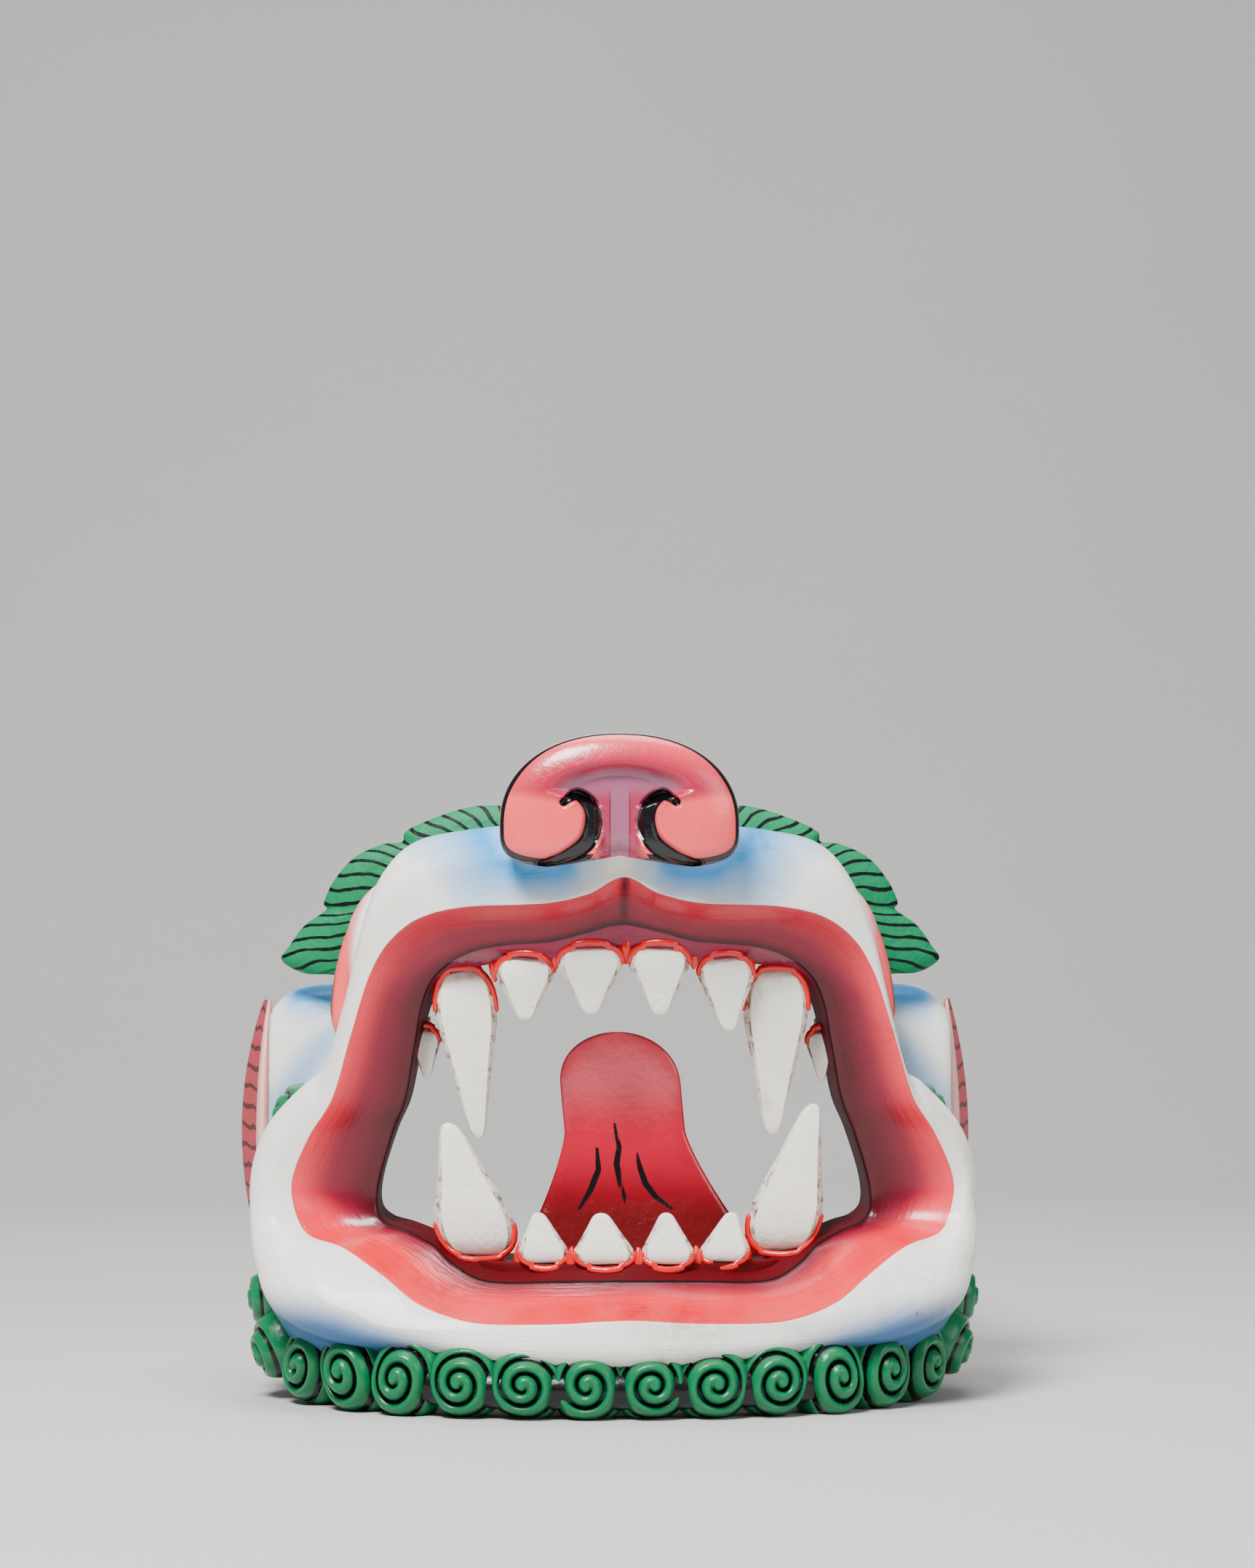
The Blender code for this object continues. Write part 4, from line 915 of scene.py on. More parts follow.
def make_head():
    """The head's skin, hollowed to its wall and sawn flat below."""
    around = sizes().around
    rings = [full_loop(half, sway) for half, sway in zip(head_rings(), (1, 1, 1, 0.9, 0.4, 0, 0, 0, 0))]
    places = np.arange(around) * len(rings[0]) / around
    rings = [spline(ring, places, closed=True) for ring in rings]
    at = [PROFILE_RUN[0]]
    for start, end, steps in zip(PROFILE_RUN, PROFILE_RUN[1:], PROFILE_STEPS):
        at += [start + (end - start) * (k + 1) / steps for k in range(steps)]
    rows = across(rings, PROFILE_RUN, at)
    x, y, z = rows.reshape(-1, 3).T
    run = np.repeat(at, around)
    turn = np.tile(np.arange(around) * 2 * math.pi / around, len(at))
    mesh = skin("head_skin", rows, closed_ends=False)
    note(mesh, "run", run)
    note(mesh, "stroke", np.stack([0.010 * np.cos(turn), 0.010 * np.sin(turn), run], axis=1), "FLOAT_VECTOR")
    note(mesh, "blue", blue_on_face(x, y, z))
    cleft = fade((0.0022 - np.abs(x - drift(z))) / 0.0012) * fade((z - 0.27) / 0.006)
    note(mesh, "cleft", cleft)
    thing = placed("head_skin", mesh)
    thinner = fade((0.27 - z) / 0.02) * fade((z - 0.15) / 0.02) * fade((PROFILE_RUN[4] - run) / 0.010)
    walls = thing.vertex_groups.new(name="wall")
    for place, share in enumerate(1 - 0.6 * thinner):
        walls.add([place], share, "REPLACE")
    thicken = thing.modifiers.new("Carved wall", "SOLIDIFY")
    thicken.vertex_group = "wall"
    thicken.thickness = sizes().wall
    thicken.offset = -1
    thicken.material_offset = 1
    thicken.material_offset_rim = 1
    for coat in ("outer", "inner", "corner"):
        mesh.materials.append(bpy.data.materials.new(coat))
    walled = settled(thing)
    bpy.data.objects.remove(thing)
    form = bmesh.new()
    form.from_mesh(walled)
    everything = form.verts[:] + form.edges[:] + form.faces[:]
    cut = bmesh.ops.bisect_plane(form, geom=everything, dist=1e-6, plane_co=(0, 0, 0), plane_no=(0, 0, 1),
                                 clear_inner=True)["geom_cut"]
    rim = [edge for edge in cut if isinstance(edge, bmesh.types.BMEdge)]
    bmesh.ops.triangle_fill(form, use_beauty=True, use_dissolve=False, edges=rim, normal=(0, 0, -1))
    depth_in_mouth = form.verts.layers.float["run"]
    for face in form.faces:
        deep = all(vertex[depth_in_mouth] < PROFILE_RUN[1] * 1.02 for vertex in face.verts)
        if face.material_index == 0 and deep and face.calc_center_median().z < 0.25:
            face.material_index = 2
    form.to_mesh(walled)
    form.free()
    stand("head_skin", walled, [painted("Face paint", head_plan, 0.24, 0.25, 0.0005, 0.35),
                                painted("Hollowed wood", inner_plan, 0.75, 0.0, 0.0012, 0.12),
                                painted("Mouth corner paint", head_plan, 0.55, 0.0, 0.0005, 0.10)], 50)


def make_jaw_block():
    """Wood behind the lower gum."""
    width, depth, back = JAW_BLOCK
    turn = np.linspace(0, math.pi, 61)
    x = width / 2 * np.cos(turn) + MOUTH_DRIFT[0]
    y = back - depth * np.sin(turn) ** 0.8
    middle = np.array([x.mean(), back - depth / 2])
    rows = []
    for inset, z in JAW_BLOCK_RINGS:
        ring = np.stack([x, y], axis=1)
        ring = ring + (middle - ring) * inset
        rows.append(np.column_stack([ring, np.full(len(ring), z * MOUTH_FLOOR)]))
    mesh = skin("jaw_block", rows)
    stand("jaw_block", mesh, [painted("Mouth floor", jaw_plan, 0.5, 0.0, 0.0008, 0.12)])


def nose_outline(turn, size, lift):
    """The nose seen from the front: round above its widest line, squarer wings and a notch below."""
    level, up = np.cos(turn), np.sin(turn)
    power = np.where(up > 0, *NOSE_CORNER)
    tall = np.where(up > 0, NOSE_MIDDLE, NOSE_DROP - NOSE_MIDDLE)
    x = NOSE_WIDTH / 2 * bent(level, 2 / power)
    z = tall * bent(up, 2 / power)
    z += np.where(up > 0, 0, NOSE_NOTCH * np.clip(1 - np.abs(x) / (0.6 * NOSE_WIDTH / 2), 0, 1))
    return x * size, MASK_HEIGHT - NOSE_MIDDLE + z * size - lift


def nose_pit(x, z):
    """0 in the middle of the hollow, 1 at its border: a low arch above, the septum below."""
    half = SEPTUM_HALF + (HOLLOW_HALF - SEPTUM_HALF) * fade((z - PIT_LEVEL + 0.002) / 0.006)
    return np.hypot(x / half, (z - PIT_LEVEL).clip(0) / (HOLLOW_TOP - PIT_LEVEL))


def nose_relief(x, z, reach):
    """Height of the front over its edge: a cushion, less the hollow that narrows down to the septum."""
    cushion = NOSE_ROLL * np.clip(1 - reach ** 3, 0, 1) ** 0.5
    dip = fade((1.0 - nose_pit(x, z)) / 0.30)
    return np.maximum(cushion - NOSE_HOLLOW * dip, 0)


def make_nose():
    """The rolled nose with its carved nostrils, and the bridge behind it."""
    turn = np.arange(NOSE_AROUND) * 2 * math.pi / NOSE_AROUND
    back = []
    for size, depth, lift in BRIDGE:
        x, z = nose_outline(turn, size, lift)
        if depth > NOSE_FRONT + 0.05:
            z = np.maximum(z, NECK_ARCH[1] - sizes().wall / 2)
        back.append(np.stack([x, np.full_like(x, depth), z], axis=1))
    rows = list(spline(back, np.linspace(0, len(back) - 1, BRIDGE_ROWS)))
    behind = {"edge": 1.1, "nostril": FAR, "line": FAR, "hollow": 0, "flush": 0, "septum": 0}
    notes = {key: [np.full(NOSE_AROUND, value)] * BRIDGE_ROWS for key, value in behind.items()}
    notes["edge"][-4:] = [np.full(NOSE_AROUND, 1.0 + 0.02 * k) for k in (3, 2, 1, 0)]
    edge_x, edge_z = nose_outline(turn, 1.0, 0)
    widest = MASK_HEIGHT - NOSE_MIDDLE
    ring = [point for point in zip(edge_x, edge_z) if point[1] > widest or abs(point[0]) > 0.012]
    ring = ring[-1:] + ring
    path = evenly(NOSTRIL, 40)
    for t in np.linspace(0.01, 0.99, 95):
        size = 1 - t ** 1.35
        x, z = nose_outline(turn, size, 0)
        gap, share = near_path(-np.abs(x), z, path)
        girth = gap / (NOSTRIL_RADIUS * (0.35 + 0.65 * np.sin(math.pi * np.clip(share, 0.04, 0.96))))
        lift = nose_relief(x, z, size)
        sink = NOSTRIL_DEPTH * fade((1.0 - girth) / 0.45)
        rows.append(np.stack([x, NOSE_FRONT - lift + sink, z], axis=1))
        notes["edge"].append(np.full(NOSE_AROUND, size))
        notes["nostril"].append(np.minimum(girth, FAR))
        pen = 0.0011 + 0.0012 * fade((0.362 - z) / 0.012) + 0.0026 * fade((0.313 - z) / 0.008)
        border = near_path(x, z, ring)[0]
        under = (np.abs(x) < 0.014) & (z < 0.33)
        notes["line"].append(np.where(under, FAR, np.minimum(border / pen, FAR)))
        pit = nose_pit(x, z)
        inside = fade((1.0 - pit) / 0.12)
        notes["hollow"].append(inside)
        notes["septum"].append(fade((0.345 - z) / 0.006) * inside)
        # Painted shade above the hollow, where the nose drops under its top rim.
        notes["flush"].append(fade((1.80 - pit) / 0.80) * fade((z - 0.336) / 0.012))
    mesh = skin("nose", rows)
    for key, values in notes.items():
        note(mesh, key, np.concatenate(values))
    stand("nose", mesh, [painted("Nose paint", nose_plan, 0.20, 0.35, 0.0003)], 60)


def make_brows():
    """Two thick brows in three lobes, painted with wavy strokes."""
    steps = 240
    edge = evenly(BROW, steps)
    share = np.linspace(0, 1, steps)
    root_x = 0.020 + 0.118 * share ** 1.1
    root = np.stack([root_x, arch_height_at(root_x, NECK_ARCH, sizes().wall / 2)], axis=1)
    turn = np.linspace(-math.pi / 2, math.pi / 2, 45)
    reach = np.cos(turn).clip(0) ** 0.4
    thick = bent(np.sin(turn), 0.55)
    for side, name in SIDES:
        rows, lay = [], []
        for s, outer, inner in zip(share, edge, root):
            place = inner + (outer - inner) * reach[:, None]
            crown = 1 - 0.18 * reach ** 2
            swept = BROW_SWEEP * (place[:, 0] / (MUZZLE_WIDTH / 2)) ** 3
            y = BROW_AT + BROW_THICKNESS / 2 * thick * crown + swept
            rows.append(np.stack([side * place[:, 0], y, place[:, 1]], axis=1))
            lay.append(np.stack([np.full_like(turn, s), reach + 0.2 * thick, np.zeros_like(turn)], axis=1))
        mesh = skin("brow_" + name, rows)
        note(mesh, "lay", np.concatenate(lay), "FLOAT_VECTOR")
        stand("brow_" + name, mesh, [painted("Brow paint " + name, brow_plan, 0.45, 0.0, 0.0009, 0.2)], 60)


def out_of_hollow(x, z, arch_size):
    """Factor that moves places out to the middle of an arch's wall, or 1 where they are further out."""
    width, height = arch_size[0] / 2 - sizes().wall / 2, arch_size[1] - sizes().wall / 2
    reach = np.abs(x / width) ** ARCH_POWER + np.abs(z / height) ** ARCH_POWER
    return np.maximum(reach ** (-1 / ARCH_POWER), 1)


def ball_rows(columns, rows):
    """Unit ball as rows of rings from pole to pole."""
    down = np.linspace(0.02, math.pi - 0.02, rows)
    turn = np.arange(columns) * 2 * math.pi / columns
    return np.stack([np.sin(down)[:, None] * np.cos(turn), np.sin(down)[:, None] * np.sin(turn),
                     np.repeat(np.cos(down)[:, None], columns, axis=1)], axis=-1)


def make_eyes():
    """Bulging almond eyes that slant down and out, each in two raised lids."""
    for side, name in SIDES:
        unit = ball_rows(64, 44)
        place = np.array(EYE_AT) + unit * EYE_HALF
        out = out_of_hollow(place[..., 0], place[..., 2], NECK_ARCH)
        place[..., 0] *= side * out
        place[..., 2] *= out
        ball = skin("eyeball_" + name, place)
        look = np.hypot(unit[..., 0] + 0.05, unit[..., 2] * 0.8 + 0.05) + np.where(unit[..., 1] > 0, 2, 0)
        note(ball, "look", look)
        stand("eyeball_" + name, ball, [painted("Eye paint " + name, eye_plan, 0.25, 0.3)], 60)
        lids = []
        for lid in (UPPER_LID, LOWER_LID):
            path = evenly(lid, 40)
            out = out_of_hollow(path[:, 0], path[:, 1], NECK_ARCH)
            path = path * out[:, None]
            lids.append(bar("lid", [(side * x, LID_AT, z) for x, z in path], LID_RADIUS, 16))
        mesh = joined("eyelids_" + name, lids)
        facing = np.array([v.normal for v in mesh.vertices])
        height = np.array([v.co.z for v in mesh.vertices])
        between = fade((0.240 - height) / 0.004) * fade((height - 0.216) / 0.004)
        note(mesh, "rim_line", fade((side * facing[:, 0] - 0.90) / 0.04) * between)
        stand("eyelids_" + name, mesh, [painted("Lid paint " + name, lid_plan, 0.3, 0.2)], 60)


def make_temples():
    """Squared swellings behind the cheeks, flat outside for the ears."""
    for side, name in SIDES:
        unit = ball_rows(96, 72)
        unit = unit / (np.sum(np.abs(unit) ** TEMPLE_POWER, axis=-1, keepdims=True) ** (1 / TEMPLE_POWER))
        y = TEMPLE_AT[0] + unit[..., 1] * TEMPLE_SWELL[0]
        z = TEMPLE_AT[1] + unit[..., 2] * TEMPLE_SWELL[1]
        inner = arch_width_at(z, TEMPLE_ARCH, sizes().wall / 2)
        x = inner + np.clip(unit[..., 0], 0, None) * (TEMPLE_WIDTH / 2 - inner)
        x += np.clip(unit[..., 0], None, 0) * sizes().wall / 4
        x = np.minimum(x, EAR_SEAT - 0.0003)
        mesh = skin("temple_" + name, np.stack([side * x, y, z], axis=-1))
        top = fade((z - 0.216) / 0.012) * fade((0.225 - y) / 0.02) * fade((0.190 - x) / 0.008)
        near = near_path(x, z, [(0.158, 0.208), (0.176, 0.188), (0.190, 0.167), (0.199, 0.150)])[0]
        low = fade(1 - 2 * near / 0.017) * fade((0.180 - y) / 0.010) * 0.6
        note(mesh, "blue", np.maximum(top, low))
        stand("temple_" + name, mesh, [painted("Temple paint " + name, white_plan, 0.4)], 50)


def gum_depth(x, z):
    """How far the edge of the gum stands back from the front, where it is nearest to a place."""
    edge = full_loop(head_rings()[0], 1.0)
    fine = spline(edge, np.arange(0, len(edge), 0.1), closed=True)
    return fine[np.argmin(np.hypot(fine[:, 0] - x, fine[:, 2] - z)), 1]


def tooth(root, half, tip, root_z, tip_z):
    """One tooth with carved facets, its root rounded off into the gum."""
    up = 1 if tip_z > root_z else -1
    depth = gum_depth(root, root_z) - TOOTH_STAND + half * TOOTH_THICKNESS
    section = np.array(TOOTH_SECTION) * (half, half * TOOTH_THICKNESS)
    rows, roots = [], []
    for run, size, sunk in TOOTH_SIZE:
        rise = -up * TOOTH_SINK[1] if run == -1 else (tip_z - root_z) * run
        x = root + (tip - root) * max(run, 0) ** 1.2
        y = depth + TOOTH_SINK[0] * sunk
        rows.append(np.column_stack([x + section[:, 0] * size, y + section[:, 1] * size,
                                     np.full(6, root_z + rise)]))
        roots.append([max(run, 0)] * 6)
    mesh = skin("tooth", rows)
    note(mesh, "root", np.concatenate(roots))
    return mesh


def make_teeth():
    for name, rows in (("upper", UPPER_TEETH), ("lower", LOWER_TEETH)):
        thing = placed("teeth_" + name, joined("teeth_" + name, [tooth(*row) for row in rows]))
        soften = thing.modifiers.new("Soft edges", "BEVEL")
        soften.width = sizes().tooth_bevel
        soften.segments = 3
        soften.limit_method = "ANGLE"
        soften.angle_limit = math.radians(18)
        finished = settled(thing)
        bpy.data.objects.remove(thing)
        normals = np.zeros(len(finished.vertices) * 3)
        finished.vertices.foreach_get("normal", normals)
        note(finished, "flank", fade((np.abs(normals.reshape(-1, 3)[:, 0]) - 0.62) / 0.2))
        paint_of_row = painted("Tooth paint " + name, tooth_plan, 0.42, 0.05, 0.0006)
        stand("teeth_" + name, finished, [paint_of_row], 30)


def make_gums():
    """Red beads that scallop round the roots of the teeth."""
    runs, widths = np.array(TOOTH_SIZE)[2:, :2].T
    down = np.linspace(0.23, 0, 16)
    over = np.linspace(-0.9, 0.9, 9)
    beads = []
    skin_of_head = bpy.data.objects["head_skin"]
    for root, half, tip, root_z, tip_z in UPPER_TEETH + LOWER_TEETH:
        side = half * np.interp(down, runs, widths) - 0.0003
        middle = root + (tip - root) * down ** 1.2
        height = root_z + (tip_z - root_z) * down
        top = half * widths[0] * over
        x = np.concatenate([middle - side, root + top, (middle + side)[::-1]])
        above = root_z + math.copysign(1, root_z - tip_z) * GUM_RISE * (2 - over ** 2)
        z = np.concatenate([height, above, height[::-1]])
        face = gum_depth(root, root_z) - TOOTH_STAND
        y = face + half * TOOTH_THICKNESS * (0.35 + 0.5 * np.abs(x - root) / half)
        for k in range(len(x)):
            hit, place, _, _ = skin_of_head.ray_cast((x[k], -1, z[k]), (0, 1, 0))
            if hit and y[k] - GUM_HUG < place.y - SHIFT < y[k]:
                y[k] = place.y - SHIFT
        y = np.convolve(np.pad(y, 3, mode="edge"), np.full(7, 1 / 7), mode="valid") - 0.0005
        turn = np.linspace(0.1, 0.9, len(x)) * math.pi
        radii = sizes().gum_bead * (0.35 + 0.65 * np.sin(turn) ** 0.6)
        beads.append(bar("bead", np.stack([x, y, z], axis=1), radii))
    for row in (UPPER_TEETH[1:-1], LOWER_TEETH):
        for left, right in zip(row, row[1:]):
            x = 0.5 * (left[0] + left[1] + right[0] - right[1])
            root_z = 0.5 * (left[3] + right[3])
            up = math.copysign(1, left[3] - left[4])
            y = gum_depth(x, root_z) - TOOTH_STAND + WEDGE_BACK
            wedge = [(x, y, root_z + up * rise) for rise, _ in WEDGE]
            beads.append(bar("wedge", wedge, [radius for _, radius in WEDGE]))
    stand("gum_beads", joined("gum_beads", beads), [painted("Gum bead paint", bead_plan, 0.15, 0.4)], 60)


def make_tongue():
    """The upright tongue: flared root, round tip, painted lines."""
    rows, lines = [], []
    turn = np.arange(180) * math.pi / 90
    for share in 1 - (1 - np.linspace(0, 1, 120)) ** 1.25:
        flare = 0.5 * (TONGUE_WIDTH + (TONGUE_ROOT - TONGUE_WIDTH) * (1 - min(share / 0.55, 1)) ** 1.3)
        tip = math.sqrt(max(1 - max((share - 0.76) / 0.241, 0) ** 2.2, 0.0004))
        half = flare * tip
        x = TONGUE_OFFSET * (1 - share) ** 1.3 + 0.0018
        y = TONGUE_BACK + TONGUE_BOW * math.sin(math.pi * share) + TONGUE_LEAN * share
        thick = 0.5 * TONGUE_THICKNESS * (0.6 + 0.4 * tip)
        ring_x = half * bent(np.cos(turn), 0.7)
        ring_y = y + thick * bent(np.sin(turn), 0.7)
        ring_y = ring_y + TONGUE_CROWN * (1 - (ring_x / flare) ** 2) * min(share * 4, 1) - 0.0012
        z = TONGUE_FOOT + share * TONGUE_HEIGHT
        rows.append(np.stack([x + ring_x, ring_y, np.full_like(turn, z)], axis=1))
        mark = np.full_like(turn, UNMARKED)
        for line in TONGUE_LINES:
            gap, part = near_path(x + ring_x, np.full_like(turn, z), line)
            brush = TONGUE_BRUSH * (0.55 + 0.8 * np.sin(math.pi * np.clip(part, 0.05, 0.95)))
            mark = np.minimum(mark, gap / brush)
        lines.append(np.where(np.sin(turn) < 0, mark, UNMARKED))
    mesh = skin("tongue_carved", rows)
    note(mesh, "line", np.concatenate(lines))
    stand("tongue_carved", mesh, [painted("Tongue paint", tongue_plan, 0.14, 0.5)], 60, "tongue")


def make_ears():
    """Leaf-shaped ears: the root flat against the temple, the free edge standing out behind."""
    turn = np.arange(64) * math.pi / 32
    run = 0.5 + 0.5 * np.cos(turn)
    outer = 0.5 + 0.5 * bent(np.sin(turn), 0.8)
    for side, name in SIDES:
        rows, lay = [], []
        for share in np.linspace(0, 1, 90):
            wide = EAR_WIDTH * math.sin(math.pi * (0.03 + 0.94 * share ** 0.85)) ** 0.65
            swell = math.sin(math.pi * (0.04 + 0.92 * share)) ** 0.7
            y = EAR_FRONT + EAR_BOW * (2 * share - 1) ** 2 + wide * run
            spread = EAR_SPREAD * ((run - EAR_ROOT).clip(0) / (1 - EAR_ROOT)) ** 1.3
            x = EAR_SEAT + swell * (spread + EAR_THICKNESS * outer)
            rows.append(np.stack([side * x, y, np.full_like(turn, EAR_TOP - EAR_LENGTH * share)], axis=1))
            lay.append(np.stack([np.full_like(turn, share), run, np.zeros_like(turn)], axis=1))
        mesh = skin("ear_carved_" + name, rows)
        note(mesh, "lay", np.concatenate(lay), "FLOAT_VECTOR")
        stand("ear_carved_" + name, mesh, [painted("Ear paint " + name, ear_plan, 0.45, 0.0, 0.0006, 0.25)],
              60, "ear_" + name)


def curl_lock(name, side):
    """One coiled lock, wound inward from its tail, the mirror of the other side's."""
    reach = np.linspace(0.0, 1.0, 46)[1:] ** 0.9
    turn = np.arange(120) * math.pi / 60
    wound = (turn - CURL_TAIL) / (2 * math.pi) % 1.0
    corner = (np.abs(np.cos(turn)) ** 2.5 + np.abs(np.sin(turn)) ** 2.5) ** (-1 / 2.5)
    rows, grooves = [], []
    for r in reach[::-1]:
        phase = (1 - r) * CURL_TURNS - wound + 0.12
        ridge = np.abs(np.sin(math.pi * phase)) ** 0.7
        heart = fade((r - 0.10) / 0.08)
        ridge = ridge * heart + (1 - heart)
        dome = 1 - 0.34 * r ** 2
        wall = max(1 - r ** 9, 0) ** 0.5
        height = CURL_ROOT + (CURL_DEPTH - CURL_ROOT) * dome * wall - CURL_GROOVE * (1 - ridge) * wall
        width = r * (1 + (corner - 1) * r ** 3)
        across_lock = [-side * width * np.cos(turn), width * np.sin(turn)]
        rows.append(np.stack(across_lock + [height / CURL_UNIT], axis=1))
        grooves.append((1 - ridge) * (0.3 + 0.7 * wall))
    mesh = skin(name, rows)
    note(mesh, "groove", np.concatenate(grooves))
    return placed(name, mesh)


def lock_tree():
    """Geometry nodes that set a lock on every point of a guide, turned by the point's own turn."""
    tree = bpy.data.node_groups.new("Beard of locks", "GeometryNodeTree")
    sockets = {"Geometry": "Geometry", "Lock": "Object", "Size": "Vector", "Paint": "Material"}
    for key, kind in sockets.items():
        tree.interface.new_socket(name=key, in_out="INPUT", socket_type="NodeSocket" + kind)
    tree.interface.new_socket(name="Geometry", in_out="OUTPUT", socket_type="NodeSocketGeometry")
    nodes, link = tree.nodes, tree.links.new
    entry, leave = nodes.new("NodeGroupInput"), nodes.new("NodeGroupOutput")
    info = nodes.new("GeometryNodeObjectInfo")
    link(entry.outputs["Lock"], info.inputs["Object"])
    as_turn = nodes.new("FunctionNodeEulerToRotation")
    scale = nodes.new("ShaderNodeVectorMath")
    scale.operation = "MULTIPLY"
    for key, user in (("turned", as_turn), ("grown", scale)):
        noted = nodes.new("GeometryNodeInputNamedAttribute")
        noted.data_type = "FLOAT_VECTOR"
        noted.inputs["Name"].default_value = key
        link(noted.outputs["Attribute"], user.inputs[0])
    link(entry.outputs["Size"], scale.inputs[1])
    place = nodes.new("GeometryNodeInstanceOnPoints")
    link(entry.outputs["Geometry"], place.inputs["Points"])
    link(info.outputs["Geometry"], place.inputs["Instance"])
    link(as_turn.outputs[0], place.inputs["Rotation"])
    link(scale.outputs[0], place.inputs["Scale"])
    real = nodes.new("GeometryNodeRealizeInstances")
    link(place.outputs[0], real.inputs[0])
    coat = nodes.new("GeometryNodeSetMaterial")
    link(real.outputs[0], coat.inputs["Geometry"])
    link(entry.outputs["Paint"], coat.inputs["Material"])
    link(coat.outputs[0], leave.inputs[0])
    return tree


def jaw_line():
    """The half line of the curls as places."""
    return np.array(JAW_LINE) * (MUZZLE_WIDTH / 200, 1, 1)


def jaw_path():
    """Places of the curls on the right half, from under the chin to the sideburn, evenly spaced."""
    fine, length = measured(jaw_line(), 400)
    count = int(length[-1] / CURL_SPACING + 0.5)
    return read_off(fine, length, (np.arange(count) + 0.5) * CURL_SPACING)


def make_beard():
    """Curls on a long roll that runs round the jaw and up behind the cheeks."""
    coat = painted("Beard paint", beard_plan, 0.24, 0.15, 0.0004, 0.35)
    tree = lock_tree()
    inputs = {item.name: item.identifier for item in tree.interface.items_tree if item.in_out == "INPUT"}
    half = jaw_path()
    middle = Vector((0, 0.5 * MASK_DEPTH, 0.25 * MASK_HEIGHT))
    chance = np.random.default_rng(7)
    meshes = []
    for side, name in SIDES:
        lock = curl_lock("lock_" + name, side)
        points, turned, grown = [], [], []
        for k, point in enumerate(half):
            ahead = Vector(half[min(k + 1, len(half) - 1)]) - Vector(half[max(k - 1, 0)])
            ahead.normalize()
            out = Vector(point) - middle
            if k < CURLS_LEVEL:
                out.z = 0
            out = (out - ahead * out.dot(ahead)).normalized()
            outward = Vector((side * out.x, out.y, out.z))
            level = Vector((ahead.x, side * ahead.y, side * ahead.z))
            upright = outward.cross(level)
            spin = chance.uniform(*CURL_SPIN)
            matrix = Matrix((level, upright, outward)).transposed() @ Matrix.Rotation(spin, 3, "Z")
            lift = CURL_LIFT if k < CURLS_LEVEL else 0
            points.append((side * point[0], point[1], point[2] + lift))
            turned.append(tuple(matrix.to_euler()))
            taller = CURL_TALLER[CURL_TALLER_FROM <= k < CURLS_LEVEL]
            wide = chance.uniform(0.96, 1.08)
            tall = taller * chance.uniform(0.95, 1.05)
            grown.append((wide, tall, chance.uniform(0.94, 1.06)))
        guide_mesh = bpy.data.meshes.new("guide")
        guide_mesh.from_pydata(points, [], [])
        note(guide_mesh, "turned", turned, "FLOAT_VECTOR")
        note(guide_mesh, "grown", grown, "FLOAT_VECTOR")
        guide = placed("guide", guide_mesh)
        step = guide.modifiers.new("Beard of locks", "NODES")
        step.node_group = tree
        step[inputs["Lock"]] = lock
        step[inputs["Size"]] = (sizes().curl_width, sizes().curl_height, CURL_UNIT)
        step[inputs["Paint"]] = coat
        mesh = settled(guide)
        bpy.data.objects.remove(guide)
        bpy.data.objects.remove(lock)
        for vertex in mesh.vertices:
            vertex.co.z = max(vertex.co.z, 0)
        meshes.append(mesh)
    roll = evenly(jaw_line() * (ROLL_INSET, 1, 1), 90)[:ROLL_END]
    line = np.concatenate([roll[:0:-1] * (-1, 1, 1), roll])
    strip = bar("roll", line, 0.9 * ROLL_RADIUS, 20)
    # Painted shade: the roll shows only in the gaps between the curls and is painted black there.
    note(strip, "groove", np.full(len(strip.vertices), 0.9))
    mesh = joined("beard_curls", meshes + [strip])
    stand("beard_curls", mesh, [coat], 50)


def area_light(name, place, aim, size, power):
    data = bpy.data.lights.new(name, "AREA")
    data.shape = "RECTANGLE"
    data.size, data.size_y = size
    data.energy = power
    lamp = placed(name, data)
    lamp.location = place
    lamp.rotation_euler = (Vector(aim) - Vector(place)).to_track_quat("-Z", "Y").to_euler()


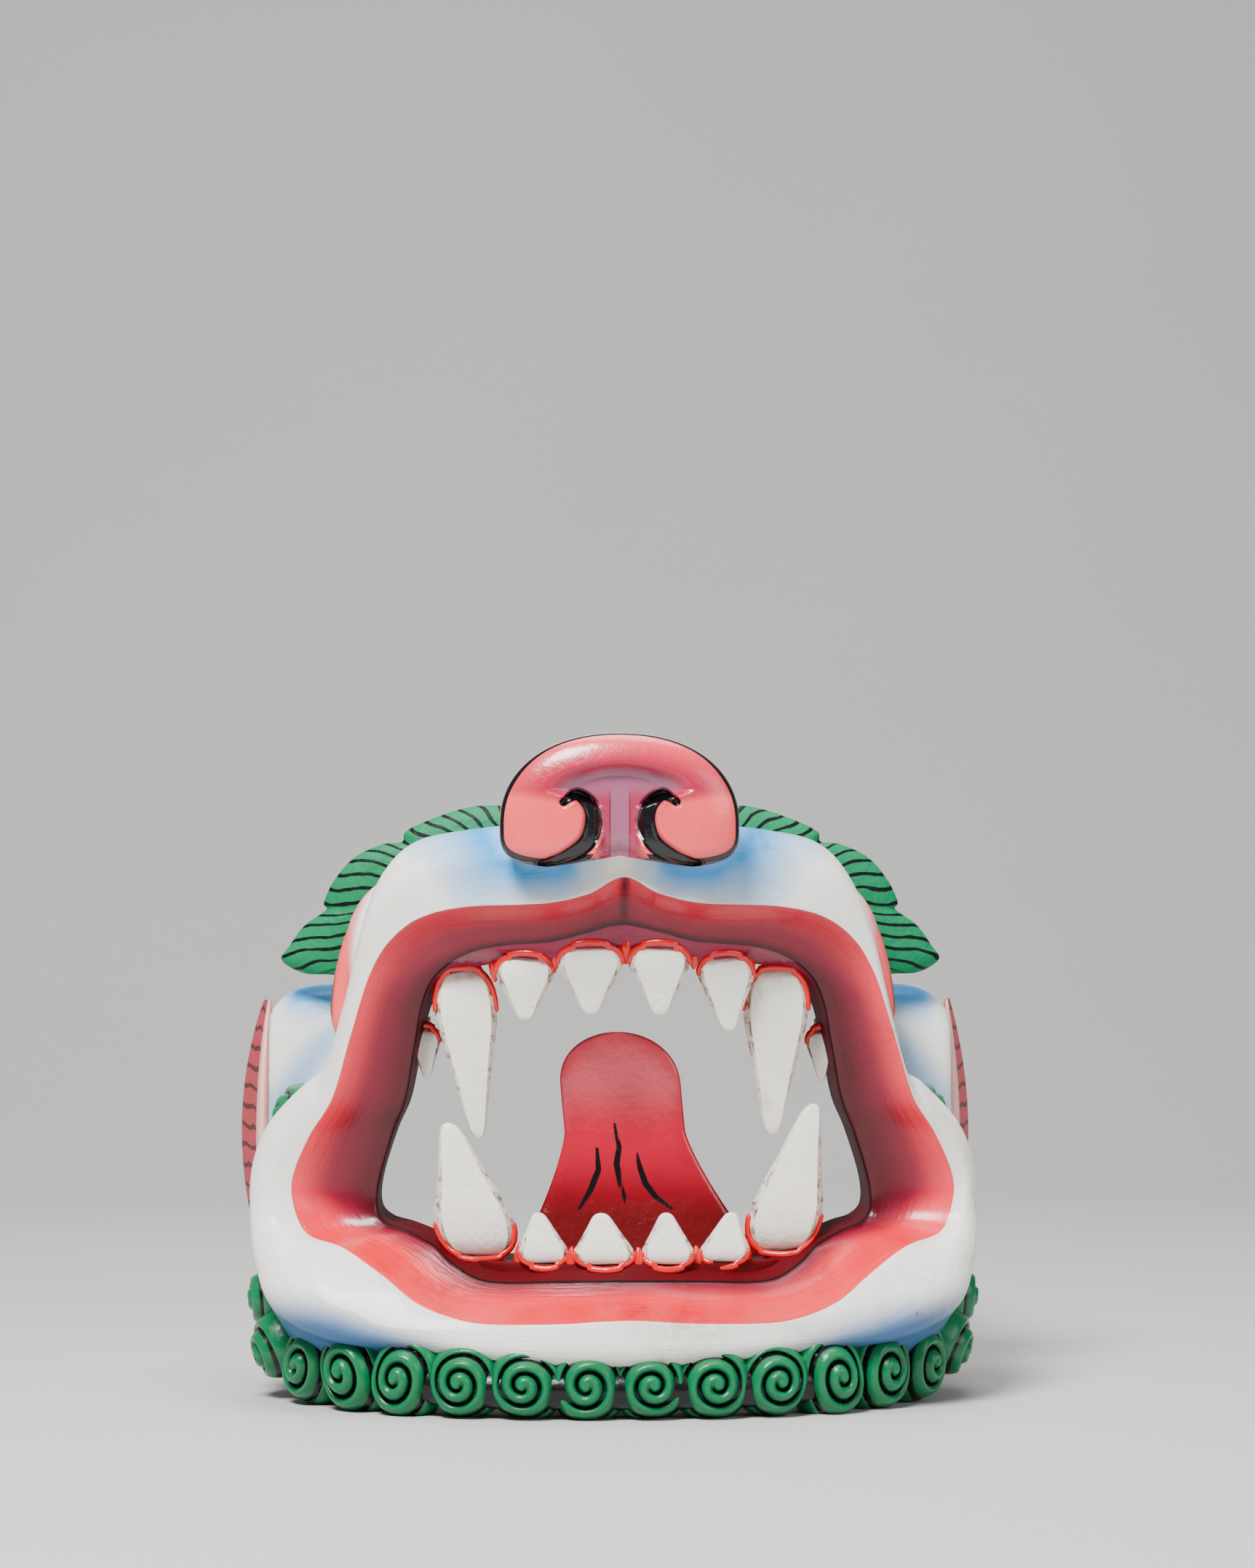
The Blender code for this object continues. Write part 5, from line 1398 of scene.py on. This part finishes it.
def make_stage():
    """Camera, pale sweep and soft studio light."""
    data = bpy.data.cameras.new("camera")
    data.lens = FOCAL_LENGTH
    camera = placed("camera", data)
    camera.location = (CAMERA_SHIFT - CAMERA_TURN * CAMERA_DISTANCE, SHIFT - CAMERA_DISTANCE, CAMERA_HEIGHT)
    camera.rotation_euler = (math.pi / 2, 0, -math.atan(CAMERA_TURN))
    bpy.context.scene.camera = camera

    profile = [(-4.0, 0.0), (1.2, 0.0)] + [(1.2 + 1.2 * math.sin(a), 1.2 - 1.2 * math.cos(a))
                                           for a in np.linspace(0.1, math.pi / 2, 20)] + [(2.4, 4.0)]
    form = bmesh.new()
    sides = [[form.verts.new((x, y, z)) for y, z in profile] for x in (-4, 4)]
    for k in range(len(profile) - 1):
        form.faces.new((sides[0][k], sides[1][k], sides[1][k + 1], sides[0][k + 1]))
    mesh = bpy.data.meshes.new("sweep")
    form.to_mesh(mesh)
    form.free()
    mesh.shade_smooth()
    sweep = placed("sweep", mesh)
    card = bpy.data.materials.new("Pale card")
    card.use_nodes = True
    mixer = Mixer(card.node_tree)
    shader = card.node_tree.nodes["Principled BSDF"]
    shader.inputs["Roughness"].default_value = 0.85
    tone = mixer.mix(mixer.noise(mixer.place(), 3.0, 2.0), (0.54, 0.53, 0.52, 1), (0.57, 0.56, 0.55, 1))
    mixer.feed(shader.inputs["Base Color"], tone)
    mesh.materials.append(card)

    area_light("key", (-0.7, -1.5, 2.2), (0, 0, 0.2), (0.8, 0.8), 135)
    area_light("fill", (1.7, -1.5, 1.1), (0, 0, 0.2), (1.2, 1.2), 14)
    area_light("top", (0.1, 0.1, 2.1), (0, 0, 0), (1.3, 1.0), 32)
    world = bpy.data.worlds.new("studio")
    world.use_nodes = True
    world.node_tree.nodes["Background"].inputs["Color"].default_value = (0.85, 0.87, 0.90, 1)
    world.node_tree.nodes["Background"].inputs["Strength"].default_value = 0.20
    bpy.context.scene.world = world


class Carver:
    """Runs the makers of one group of pieces."""

    def execute(self, context):
        for make in self.makers:
            make()
        return {"FINISHED"}


class FOODOG_OT_head(Carver, bpy.types.Operator):
    """Carve the head's skin and wall, the gums' beads and the block behind the jaw"""
    bl_idname = "foodog.head"
    bl_label = "Head and gums"
    makers = (make_head, make_gums, make_jaw_block)


class FOODOG_OT_nose(Carver, bpy.types.Operator):
    """Carve the rolled nose and its bridge"""
    bl_idname = "foodog.nose"
    bl_label = "Nose"
    makers = (make_nose,)


class FOODOG_OT_brows(Carver, bpy.types.Operator):
    """Carve the brows, the eyes with their lids, and the temples"""
    bl_idname = "foodog.brows"
    bl_label = "Brows, eyes and temples"
    makers = (make_brows, make_eyes, make_temples)


class FOODOG_OT_teeth(Carver, bpy.types.Operator):
    """Carve the teeth"""
    bl_idname = "foodog.teeth"
    bl_label = "Teeth"
    makers = (make_teeth,)


class FOODOG_OT_tongue(Carver, bpy.types.Operator):
    """Carve the tongue"""
    bl_idname = "foodog.tongue"
    bl_label = "Tongue"
    makers = (make_tongue,)


class FOODOG_OT_ears(Carver, bpy.types.Operator):
    """Carve the two ears"""
    bl_idname = "foodog.ears"
    bl_label = "Ears"
    makers = (make_ears,)


class FOODOG_OT_beard(Carver, bpy.types.Operator):
    """Set the curls of the beard along the jaw"""
    bl_idname = "foodog.beard"
    bl_label = "Beard"
    makers = (make_beard,)


class FOODOG_OT_stage(Carver, bpy.types.Operator):
    """Set up the camera, floor and lights"""
    bl_idname = "foodog.stage"
    bl_label = "Stage"
    makers = (make_stage,)


OPERATORS = (FOODOG_OT_stage, FOODOG_OT_head, FOODOG_OT_nose, FOODOG_OT_brows, FOODOG_OT_teeth,
             FOODOG_OT_tongue, FOODOG_OT_ears, FOODOG_OT_beard)


class FOODOG_PT_panel(bpy.types.Panel):
    """Lists the mask's pieces and settings"""
    bl_idname = "FOODOG_PT_panel"
    bl_label = "Foo Dog Mask"
    bl_space_type = "VIEW_3D"
    bl_region_type = "UI"
    bl_category = "Foo Dog Mask"

    def draw(self, context):
        for settings in (context.scene.foo_dog_sizes, context.scene.foo_dog_colours):
            box = self.layout.box()
            for key in settings.bl_rna.properties.keys():
                if key not in ("rna_type", "name"):
                    box.prop(settings, key)
        for operator in OPERATORS:
            self.layout.operator(operator.bl_idname)


CLASSES = (FooDogSizes, FooDogColours) + OPERATORS + (FOODOG_PT_panel,)


def register():
    for item in CLASSES:
        bpy.utils.register_class(item)
    bpy.types.Scene.foo_dog_sizes = PointerProperty(type=FooDogSizes)
    bpy.types.Scene.foo_dog_colours = PointerProperty(type=FooDogColours)


def unregister():
    del bpy.types.Scene.foo_dog_colours
    del bpy.types.Scene.foo_dog_sizes
    for item in reversed(CLASSES):
        bpy.utils.unregister_class(item)


def main():
    register()
    for operator in OPERATORS:
        family, name = operator.bl_idname.split(".")
        getattr(getattr(bpy.ops, family), name)()


if __name__ == "__main__":
    main()
